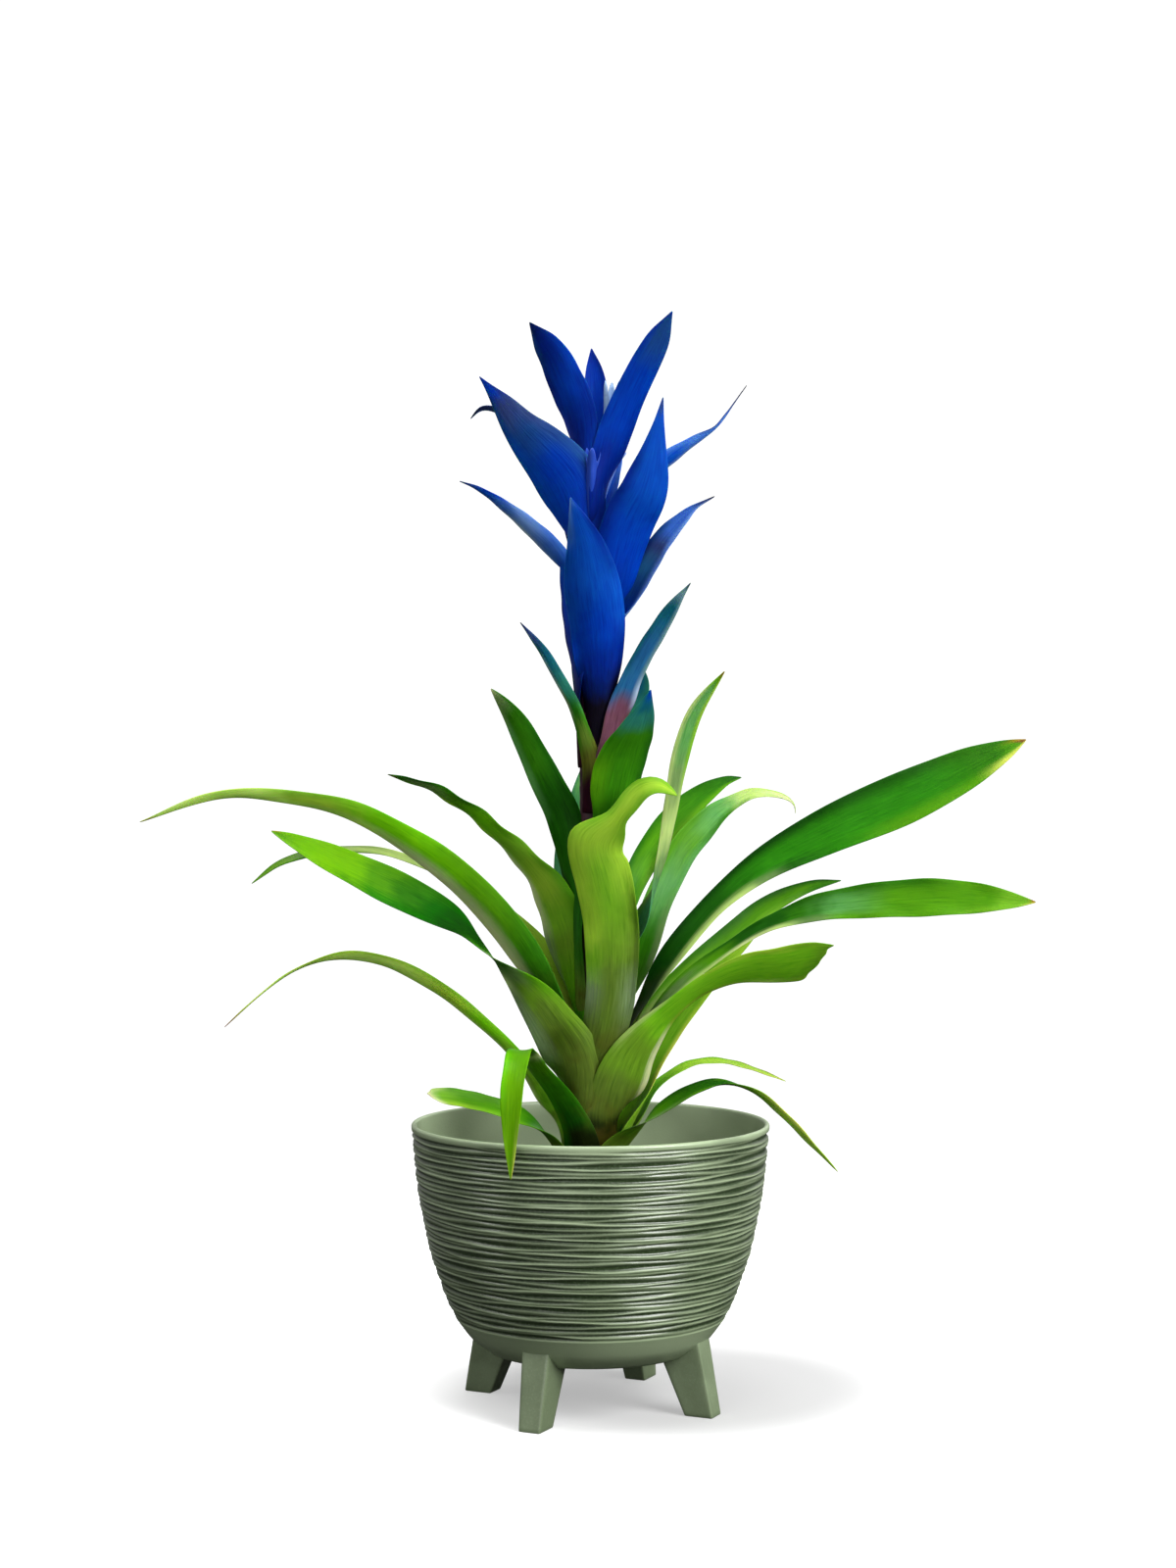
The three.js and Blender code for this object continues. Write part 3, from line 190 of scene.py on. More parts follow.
# One row a leaf. az: the way it grows, in degrees from +X towards +Y. rib: points of the
# midrib from the stem to the tip, each [distance from the axis, offset to the leaf's left,
# height]. widths: [share of the leaf's length, blade width there]. turn: [share of the
# length, degrees that the blade is turned about its midrib]. cup: half-angle of its channel.
# sheath: length over which it opens, if not SHEATH_LENGTH. clasp: its wrap, if not CLASP_ANGLE.
# lie: [share of the length, degrees that the width leans over sideways], where a leaf runs level.
# shift: [share of the length, how far the blade stands to one side of its midrib].
LEAVES = [
    {"name": "leaf_left_inner", "az": 190, "cup": 0.5, "turn": [[0.2, 0], [0.55, 62], [1, 50]],
     "widths": [[0.3, 17], [0.55, 19.5], [0.75, 16.5], [0.9, 11.5], [1, 0]],
     "rib": [[7, 0, 194], [8, 0, 228], [9, 0, 255], [10.5, 0, 278], [15, 0, 298], [21, 0, 310],
       [29, 0, 326], [37, 0, 342], [45, 0, 354], [51, 0, 361]]},
    {"name": "leaf_right_inner", "az": -20, "cup": 0.6,
     "turn": [[0.12, 0], [0.3, 50], [0.42, 0], [0.56, -45], [1, -60]],
     "widths": [[0.2, 12], [0.32, 15], [0.42, 9], [0.52, 8], [0.65, 8.5], [0.75, 9.5], [0.87, 8],
       [1, 0]],
     "rib": [[7.4, 0, 190], [14, 0, 210], [25, 0, 236], [34, 0, 258], [39.5, 0, 280],
       [43.5, 0, 303], [47, 0, 322], [51, 0, 337], [57, 0, 351], [71, 0, 369]]},
    {"name": "leaf_front_curled", "az": 265, "cup": 0.5,
     "turn": [[0.74, 0], [0.88, -22], [1, -30]],
     "lie": [[0.66, 0], [0.8, 45], [0.9, 85], [1, 100]],
     "shift": [[0.62, 0], [0.7, -3.5], [0.75, 0.5], [0.8, 1], [0.86, 0]],
     "widths": [[0.25, 26], [0.4, 29], [0.6, 30], [0.66, 30], [0.71, 27.5], [0.745, 19],
       [0.775, 11], [0.84, 12], [0.9, 12], [0.95, 8], [1, 0]],
     "rib": [[9.9, 0, 163], [15, 8, 188], [19, 12, 214], [22, 12, 244], [25, 9, 262],
       [28, 6.5, 277], [31, 10, 288], [33, 15, 297], [34.5, 22, 305], [35.5, 29, 311.5],
       [36, 37, 312.5], [36, 46, 307]]},
    {"name": "leaf_right_back", "az": 55, "cup": 0.4, "turn": [[0.15, 0], [0.45, 55], [1, 60]],
     "widths": [[0.35, 12], [0.5, 15.5], [0.64, 17], [0.8, 12], [0.92, 5.6], [1, 0]],
     "rib": [[8.4, 0, 181], [12, 0, 203], [22, 0, 233], [42, 0, 266], [65, 0, 286], [95, 0, 303],
       [129, 0, 315], [146, 0, 317]]},
    {"name": "leaf_right_curled", "az": 40, "cup": 0.4, "turn": [[0.15, 0], [0.4, 60], [1, 60]],
     "widths": [[0.2, 18], [0.4, 15.5], [0.62, 15.5], [0.76, 8], [0.9, 4.5], [1, 0]],
     "rib": [[9.2, 0, 171], [16, 0, 190], [31, 0, 217], [44, 0, 250], [54, 0, 266], [64, 0, 280],
       [75, 0, 289], [87, 0, 298], [100, 0, 304], [112, 0, 308], [128, 0, 308], [138, 0, 306],
       [145, 0, 302], [145.5, 0, 297]]},
    {"name": "leaf_right_long", "az": 6, "cup": 0.35, "turn": [[0.1, 0], [0.35, 70], [1, 72]],
     "widths": [[0.2, 16], [0.37, 12.5], [0.6, 24], [0.73, 28], [0.84, 24.5], [0.92, 17], [1, 0]],
     "rib": [[10.7, 0, 158], [15, 0, 174], [26, 0, 199], [39, 0, 222], [56, 0, 244], [69, 0, 257],
       [89, 0, 272], [120, 0, 288], [165, 0, 307], [201, 0, 324], [226, 0, 336]]},
    {"name": "leaf_right_level", "az": -5, "cup": 0.35, "turn": [[0.12, 0], [0.35, 66], [1, 72]],
     "widths": [[0.22, 9.5], [0.45, 7], [0.6, 15], [0.78, 20], [0.9, 15], [1, 0]],
     "rib": [[11.6, 0, 149], [15, 0, 165], [29, 0, 193], [48, 0, 214], [68, 0, 229], [83, 0, 239],
       [99, 0, 246], [116, 0, 251], [151, 0, 255], [185, 0, 256], [223, 0, 254]]},
    {"name": "leaf_right_short", "az": 25, "cup": 0.4, "turn": [[0.15, 0], [0.5, 55], [1, 55]],
     "widths": [[0.25, 14], [0.5, 12.5], [0.7, 12], [0.88, 7.5], [1, 0]],
     "rib": [[12.2, 0, 143], [16, 0, 160], [27, 0, 187], [49, 0, 210], [69, 0, 226], [86, 0, 238],
       [100, 0, 248], [127, 0, 259], [147, 0, 262]]},
    {"name": "leaf_right_torn", "az": -30, "cup": 0.4, "sheath": 50,
     "turn": [[0.03, 0], [0.17, -44], [0.5, -62], [1, -65]],
     "shift": [[0.02, 0], [0.1, 1.5], [0.17, 1.5], [0.28, 0]],
     "widths": [[0.2, 28], [0.32, 20], [0.45, 10.5], [0.6, 10.5], [0.76, 18], [0.88, 20],
       [0.95, 17], [1, 9]],
     "rib": [[13.4, 0, 131], [15, -5, 148], [20, -6, 163], [27, -3, 178], [37, 0, 192],
       [49, 0, 203], [62, 0, 212], [77, 0, 219], [91, 0, 222.5], [109, 0, 224.5], [138, 0, 231.5]]},
    {"name": "leaf_right_steep", "az": 18, "cup": 0.4,
     "turn": [[0.15, 0], [0.45, 50], [1, 50]],
     "widths": [[0.2, 12], [0.32, 9], [0.5, 8], [0.75, 9.5], [0.9, 7], [1, 0]],
     "rib": [[14, 0, 125], [20, 0, 137], [26.5, 0, 150], [31.5, 0, 162], [37, 0, 173], [48, 0, 190],
       [58, 0, 203.5], [73.5, 0, 222], [90, 0, 235]]},
    {"name": "leaf_right_thin", "az": 38, "cup": 0.4, "turn": [[0.15, 0], [0.5, 25], [1, 30]],
     "widths": [[0.2, 6.5], [0.5, 5.6], [0.83, 5.5], [1, 0]],
     "rib": [[14.4, 0, 121], [21, 0, 131], [30, 0, 142], [39, 0, 154], [50, 0, 161], [67, 0, 167],
       [87, 0, 167], [111, 0, 161], [134, 0, 153]]},
    {"name": "leaf_right_drooping", "az": -42, "cup": 0.4, "clasp": 0.9,
     "turn": [[0.12, 0], [0.3, 55], [0.46, 50], [0.6, -20], [0.75, -55], [1, -50]],
     "widths": [[0.25, 10.5], [0.4, 8.5], [0.55, 7], [0.66, 8.8], [0.8, 7.2], [0.92, 4.8], [1, 0]],
     "rib": [[14.7, 0, 119], [19, 0, 128], [32, 0, 141], [47, 0, 152], [63, 0, 161], [75, 0, 166],
       [89, 0, 168], [103, 0, 166], [116, 0, 160], [128, 0, 152], [155, 0, 132]]},
    {"name": "leaf_left_long", "az": 188, "cup": 0.4, "turn": [[0.08, 0], [0.28, 62], [1, 45]],
     "widths": [[0.2, 19], [0.45, 17.5], [0.6, 13], [0.77, 8], [0.9, 5], [1, 0]],
     "rib": [[10.9, 0, 156], [11.2, 0, 175], [15, 0, 194], [26, 0, 214], [40, 0, 236], [56, 0, 255],
       [72, 0, 270], [89, 0, 282], [120, 0, 299], [159, 0, 307], [188, 0, 307], [225, 0, 294]]},
    {"name": "leaf_left_twisted", "az": 218, "cup": 0.35, "sheath": 60,
     "turn": [[0.03, 0], [0.13, 46], [0.24, 55], [0.36, 20], [0.52, -68], [1, -70]],
     "widths": [[0.14, 31], [0.22, 25], [0.3, 20], [0.44, 8], [0.56, 15.5], [0.67, 19.5],
       [0.81, 17], [0.92, 10.7], [1, 0]],
     "rib": [[12.4, 0, 141], [13.5, 4, 158], [17, 7, 175], [28, 4, 194], [42, 0, 212], [53, 0, 221],
       [62, 0, 228], [71, 0, 236], [80, 0, 244], [93, 0, 251], [125, 0, 265], [187, 0, 291]]},
    {"name": "leaf_left_arching", "az": 195, "cup": 0.5,
     "turn": [[0.05, 0], [0.12, 40], [0.4, 58], [0.7, 50], [0.81, 15], [1, 20]],
     "widths": [[0.08, 19], [0.15, 12], [0.24, 7.5], [0.36, 7.5], [0.5, 8], [0.68, 6], [0.8, 4.4],
       [0.9, 3.6], [1, 0]],
     "rib": [[13.8, 0, 127], [15.5, 0, 138], [23, 0, 155], [41, 0, 179], [58, 0, 195], [74, 0, 208],
       [90, 0, 218], [106, 0, 225], [122, 0, 228], [138, 0, 226], [151, 0, 221], [167, 0, 210],
       [185, 0, 194]]},
    {"name": "leaf_front_hanging", "az": 250, "cup": 0.4, "clasp": 0.8, "sheath": 30,
     "widths": [[0.16, 15], [0.3, 12.5], [0.5, 12], [0.66, 12.5], [0.8, 11], [0.91, 6], [1, 0]],
     "rib": [[14.4, 0, 122], [16, -1, 138], [20, -7.5, 154], [34, -15, 170.5], [57, -13.5, 182],
       [76, -8.7, 184], [89, -5.2, 178.5], [95, -4.7, 168], [97, -4.7, 150], [96.5, -5, 126]]},
    {"name": "leaf_left_low", "az": 203, "cup": 0.35, "clasp": 0.6,
     "turn": [[0.15, 0], [0.5, -52], [1, -55]],
     "widths": [[0.3, 13], [0.55, 10.5], [0.85, 10], [0.96, 7.5], [1, 4]],
     "rib": [[14.7, 0, 119], [20, 0, 131], [31, 0, 142], [49, 0, 151], [70, 0, 157], [88, 0, 160]]},
    {"name": "leaf_left_narrow", "az": 147, "cup": 0.4, "clasp": 0.9,
     "turn": [[0.1, 0], [0.25, -50], [1, -55]],
     "widths": [[0.1, 16], [0.2, 15], [0.3, 9.5], [0.42, 6], [0.5, 5], [0.75, 4.5], [0.92, 5.5],
       [1, 0]],
     "rib": [[9.8, 0, 166], [12, 0, 186], [17, 0, 203], [33, 0, 230], [62, 0, 252], [87, 0, 264],
       [110, 0, 272], [132, 0, 277], [153, 0, 278], [171, 0, 277], [189, 0, 274], [205, 0, 269],
       [224, 0, 258]]},
    {"name": "leaf_left_upper", "az": 170, "cup": 0.45, "sheath": 70,
     "turn": [[0.06, 0], [0.2, 50], [0.34, 62], [1, 35]],
     "widths": [[0.18, 31], [0.37, 31], [0.46, 24], [0.55, 17], [0.72, 12.5], [0.88, 8.5], [1, 0]],
     "rib": [[9.2, 0, 174], [8.5, 0, 192], [9.5, 0, 212], [15.5, 0, 242], [23, 0, 259],
       [33.5, 0, 273], [47, 0, 286], [61, 0, 298], [83, 0, 311], [106, 0, 318]]},
    {"name": "leaf_back_inner", "az": 100, "cup": 0.5,
     "widths": [[0.3, 14], [0.6, 13], [0.85, 7], [1, 0]],
     "rib": [[6.8, 0, 198], [14, 4, 223], [22, 7, 247], [28, 8, 277], [34, 2, 303], [40, -4, 325]]},
    {"name": "leaf_back_upright", "az": 84, "cup": 0.45,
     "widths": [[0.3, 16], [0.6, 17], [0.85, 10], [1, 0]],
     "rib": [[8.7, 0, 178], [13, 0, 203], [27, 0, 233], [47, 0, 260], [72, 0, 279], [98, 0, 286]]},
    {"name": "leaf_back_arching", "az": 96, "cup": 0.4,
     "widths": [[0.3, 17], [0.6, 19], [0.85, 12], [1, 0]],
     "rib": [[11.3, 0, 152], [15, 0, 173], [27, 0, 198], [48, 0, 220], [76, 0, 232], [102, 0, 230],
       [120, 0, 218]]},
    {"name": "leaf_back_low", "az": 108, "cup": 0.4,
     "widths": [[0.3, 15], [0.6, 16], [0.85, 10], [1, 0]],
     "rib": [[13, 0, 135], [18, 0, 153], [30, 0, 170], [48, 0, 182], [70, 0, 186], [92, 0, 180]]},
    {"name": "leaf_back_lowest", "az": 74, "cup": 0.4,
     "widths": [[0.3, 14], [0.6, 14], [0.85, 9], [1, 0]],
     "rib": [[14.2, 0, 123], [22, 0, 136], [36, 0, 147], [56, 0, 154], [78, 0, 155], [98, 0, 147]]},
]

BRACTS = [
    {"name": "bract_front_green", "az": -57, "cup": 0.6,
     "widths": [[0.25, 24], [0.45, 32], [0.65, 30], [0.85, 16], [1, 0]],
     "rib": [[6.7, 0, 270], [12, 0, 281], [20, 0, 294], [32, 0, 323], [46, 0, 344], [54, 0, 359]]},
    {"name": "bract_left_lower", "az": 260, "cup": 0.5, "sheath": 44,
     "widths": [[0.25, 9], [0.42, 7.2], [0.58, 6.4], [0.75, 5.8], [0.88, 4], [0.95, 1.8], [1, 0]],
     "rib": [[6.7, 2, 298], [7, 2.4, 313], [7.6, 1.9, 323], [8.4, -0.2, 332], [9.2, -2.7, 341],
       [10.7, -7, 353.5], [12.9, -13.7, 366], [15.4, -21.2, 379.5], [17, -26, 386],
       [18.9, -32.5, 394]]},
    {"name": "bract_right_lower", "az": -25, "cup": 0.6, "turn": [[0.15, 0], [0.4, -45], [1, -45]],
     "widths": [[0.25, 16], [0.5, 11.5], [0.74, 9.7], [0.87, 6.9], [0.94, 3], [1, 0]],
     "rib": [[6.7, 0, 316], [14, 0, 340], [18, 0, 352], [23, 0, 365], [30, 0, 378], [38, 0, 390],
       [46, 0, 402], [55, 0, 413]]},
    {"name": "bract_right_behind", "az": 30, "cup": 0.5,
     "turn": [[0.15, 0], [0.5, 50], [1, 55]],
     "widths": [[0.4, 15], [0.7, 15], [0.88, 9], [1, 0]],
     "rib": [[6.7, 0, 333], [16, 0, 344], [25, 0, 357], [31.5, 0, 372.5]]},
    {"name": "bract_left_dark", "az": 172, "cup": 0.6,
     "turn": [[0.3, 0], [0.58, 40], [1, 50]],
     "widths": [[0.2, 15], [0.43, 20], [0.67, 19], [0.88, 11], [1, 0]],
     "rib": [[6.2, 0, 321], [7, 0, 342], [7.8, 0, 363], [9.5, 0, 388], [11.8, 0, 410],
       [15.5, 0, 426]]},
    {"name": "bract_front_large", "az": 267, "cup": 0.8, "clasp": 1,
     "widths": [[0.2, 20], [0.36, 26.5], [0.53, 32], [0.67, 30], [0.83, 18], [0.93, 8], [1, 0]],
     "rib": [[6.7, 2, 326], [7.4, 4, 348], [9.4, 4.6, 370], [14, 4, 392], [20, 1.6, 411],
       [27, -1.2, 431], [36, -8, 454]]},
    {"name": "bract_right_middle", "az": -5, "cup": 0.6, "turn": [[0.1, 0], [0.35, 50], [1, 60]],
     "widths": [[0.3, 14.5], [0.5, 16], [0.68, 13], [0.8, 9], [0.89, 3.5], [0.96, 1.5], [1, 0]],
     "rib": [[6.7, 0, 374], [12, 0, 388], [19, 0, 402], [31, 0, 426], [38, 0, 437], [46, 0, 446],
       [52, 0, 452], [63, 0, 458]]},
    {"name": "bract_right_wide", "az": -35, "cup": 0.45, "sheath": 30,
     "turn": [[0.06, 0], [0.3, -38], [1, -50]],
     "widths": [[0.1, 22], [0.22, 25], [0.42, 27], [0.52, 27.5], [0.61, 25.5], [0.68, 22.5],
       [0.75, 17], [0.83, 10.5], [0.91, 5], [0.96, 2.5], [1, 0]],
     "rib": [[6.7, 0, 383], [9, 0, 394], [14, 0, 414], [18.5, 0, 430], [24.5, 0, 445],
       [32.5, 0, 458], [37, 0, 472], [40, 0, 485], [44, 0, 505]]},
    {"name": "bract_left_thin", "az": 175, "cup": 0.6, "turn": [[0.15, 0], [0.4, 52], [1, 55]],
     "widths": [[0.3, 13.5], [0.52, 11.5], [0.7, 7.8], [0.88, 3.2], [1, 0]],
     "rib": [[6.7, 0, 393], [8.3, 0, 406], [12, 0, 420], [20, 0, 432], [29, 0, 441], [39, 0, 450],
       [57, 0, 463], [67, 0, 467]]},
    {"name": "bract_left_large", "az": 200, "cup": 0.45, "sheath": 64,
     "turn": [[0.1, 0], [0.35, 50], [1, 62]],
     "widths": [[0.25, 35], [0.45, 35], [0.62, 28], [0.75, 19], [0.87, 10.5], [0.94, 4.5], [1, 0]],
     "rib": [[6.5, 0, 407], [6.5, 1.5, 424], [7, 2, 440], [9.5, 2, 456], [16, 1, 469],
       [25.5, 0, 480], [37, 0, 491], [47, 0, 503], [59, 0, 516]]},
    {"name": "bract_right_far", "az": 25, "cup": 0.5, "turn": [[0.15, 0], [0.45, -50], [1, -60]],
     "widths": [[0.3, 14], [0.5, 12.5], [0.63, 8], [0.75, 3], [0.85, 1.4], [1, 0]],
     "rib": [[6.2, 0, 422], [13, 0, 439], [25, 0, 455], [35, 0, 471], [45, 0, 480], [64, 0, 493],
       [72, 0, 498], [80, 0, 508], [90, 0, 521]]},
    {"name": "bract_left_behind", "az": 150, "cup": 0.5, "turn": [[0.2, 0], [0.6, 45], [1, 50]],
     "widths": [[0.3, 12], [0.6, 10], [0.8, 5.5], [0.9, 3.5], [1, 0]],
     "rib": [[6.1, 0, 428], [12, 0, 448], [27, 0, 476], [44, 0, 498], [58, 0, 507], [66, 0, 508],
       [72, 0, 503]]},
    {"name": "bract_right_inner", "az": -30, "cup": 0.5, "sheath": 84,
     "turn": [[0.18, 0], [0.42, -45], [1, -58]],
     "widths": [[0.25, 27], [0.45, 21], [0.6, 17], [0.77, 15], [0.88, 12], [0.94, 6.5], [1, 0]],
     "rib": [[6, 0, 435], [7.5, -1, 456], [10.5, -1, 473], [15, 0, 490], [22.5, 0, 507],
       [30.5, 0, 521], [38, 0, 533], [47, 0, 548]]},
    {"name": "bract_left_inner", "az": 178, "cup": 0.5, "sheath": 74,
     "turn": [[0.18, 0], [0.42, 45], [1, 60]],
     "widths": [[0.25, 29], [0.5, 26], [0.75, 20.5], [0.88, 14.5], [0.95, 6.5], [1, 0]],
     "rib": [[5.5, 0, 444], [5.5, 0, 466], [5.5, 0, 484], [8, 0, 501], [13.5, 0, 516], [19, 0, 529],
       [25.5, 0, 539], [31, 0, 547]]},
    {"name": "bract_back_inner", "az": 90, "cup": 0.6,
     "widths": [[0.3, 14], [0.65, 14], [0.85, 9.5], [0.94, 4.5], [1, 0]],
     "rib": [[4.9, 0, 453], [6.5, -2, 473], [9.5, -3, 498], [12, -2.5, 518], [14, -0.5, 536]]},
    {"name": "bract_back_lower", "az": 95, "cup": 0.6,
     "widths": [[0.3, 16], [0.6, 17], [0.85, 8], [1, 0]],
     "rib": [[6.7, 0, 326], [12, 0, 348], [22, 0, 373], [36, 0, 396], [50, 0, 410]]},
    {"name": "bract_back_middle", "az": 75, "cup": 0.6,
     "widths": [[0.3, 16], [0.6, 17], [0.85, 8], [1, 0]],
     "rib": [[6.7, 0, 360], [12, 0, 380], [22, 0, 403], [35, 0, 428], [48, 0, 445]]},
    {"name": "bract_back_upper", "az": 112, "cup": 0.6,
     "widths": [[0.3, 15], [0.6, 16], [0.85, 8], [1, 0]],
     "rib": [[6.6, 0, 400], [11, 0, 420], [20, 0, 444], [32, 0, 464], [44, 0, 478]]},
    {"name": "bract_back_top", "az": 66, "cup": 0.6,
     "widths": [[0.3, 14], [0.6, 15], [0.85, 8], [1, 0]],
     "rib": [[6.3, 0, 415], [10, 0, 435], [18, 0, 459], [30, 0, 480], [42, 0, 496]]},
]

# depth: 0 for a pale bunch, 1 for one as blue as a bract
FLOWERS = [
    {"name": "flower_right", "az": 0, "depth": 0.0,
     "rib": [[5.3, 0, 454], [8.6, 0, 478], [9.8, 0, 498], [11, 0, 517]]},
    {"name": "flower_left", "az": 270, "depth": 0.96,
     "rib": [[5.8, 0, 445], [6.2, 0.3, 458], [7, 0.8, 470], [8.4, 1.4, 482]]},
    {"name": "flower_back", "az": 50, "depth": 0.55,
     "rib": [[5.8, 0, 445], [9.5, 0, 461], [16, 0, 476], [24, 0, 486]]},
]

# Leaf shapes that the tables above can't give. cut: what the end loses, as [share of the width,
# share of the length]. roll: a margin folded over, as (side: -1 or 1, from, to, degrees, share
# of the width). ripple: (height of the margin's waves, how many there are).
SHAPES = {
    "leaf_right_torn": {
        "cut": [[0, 0], [0.1, 0.015], [0.25, 0.03], [0.4, 0.035], [0.55, 0.06], [0.7, 0.075],
                [0.82, 0.115], [0.92, 0.12], [1, 0.14]],
    },
    "leaf_left_low": {"cut": [[0, 0.03], [0.4, 0], [0.75, 0.03], [1, 0.08]]},
    "leaf_front_curled": {"roll": (1, 0.2, 0.62, 95, 0.14)},
    "bract_front_large": {"roll": (-1, 0.24, 0.5, 75, 0.1)},
    "leaf_right_level": {"ripple": (0.9, 9)},
    "leaf_left_upper": {"ripple": (1.1, 8)},
}

# Shades, as they would look in daylight
SHADES = {
    "deep": (14, 72, 5), "dark": (28, 95, 8), "mid": (52, 124, 12), "fresh": (88, 155, 14),
    "light": (120, 178, 38), "lime": (160, 203, 55), "pale": (185, 210, 125),
    "cream": (212, 222, 165), "grey": (118, 152, 88), "sheath": (105, 128, 45),
    # The cool bluish green on the next line is a painted highlight
    "olive": (92, 98, 30), "cool": (98, 165, 85), "aqua": (60, 135, 85),
    "moss": (96, 126, 40), "stone": (122, 146, 102), "herb": (106, 150, 34),
    "bog": (84, 106, 34), "grass": (46, 136, 10), "jade": (16, 104, 0),
    # The lemon on the next line is painted light, for leaf undersides that get little light
    "bright": (112, 196, 10), "apple": (118, 182, 4), "lemon": (200, 242, 110),
    # The loden on the next line is painted shade, where the twisted leaf's sheath is overlapped
    "vivid": (136, 214, 36), "loden": (60, 84, 18),
    "brown": (140, 100, 50), "red_brown": (135, 58, 30), "blotch": (170, 140, 30),
    # The near-black green on the next line is a painted shadow at the foot of sheaths, above the
    # rim
    "yellow": (205, 216, 95), "black_green": (22, 32, 6),
    "bright_blue": (8, 78, 190), "blue": (0, 59, 178), "deep_blue": (0, 38, 141),
    "navy": (0, 22, 92), "soft_blue": (62, 112, 200), "sky": (110, 150, 218),
    "ice": (175, 195, 225), "dusk": (48, 66, 124), "slate": (24, 70, 140), "teal": (15, 92, 112),
    "steel": (36, 98, 150), "sea": (40, 118, 104), "mist": (108, 146, 156), "plum": (108, 66, 84),
    "maroon": (40, 6, 22), "ink": (10, 6, 20),
    "stain_and_shade": (76, 66, 18), "stalk_green": (88, 96, 30), "petal_foot": (60, 105, 190),
    "petal": (172, 208, 250), "petal_edge": (150, 190, 240), "petal_tip": (90, 130, 200),
    "petal_streak": (205, 226, 252),
}
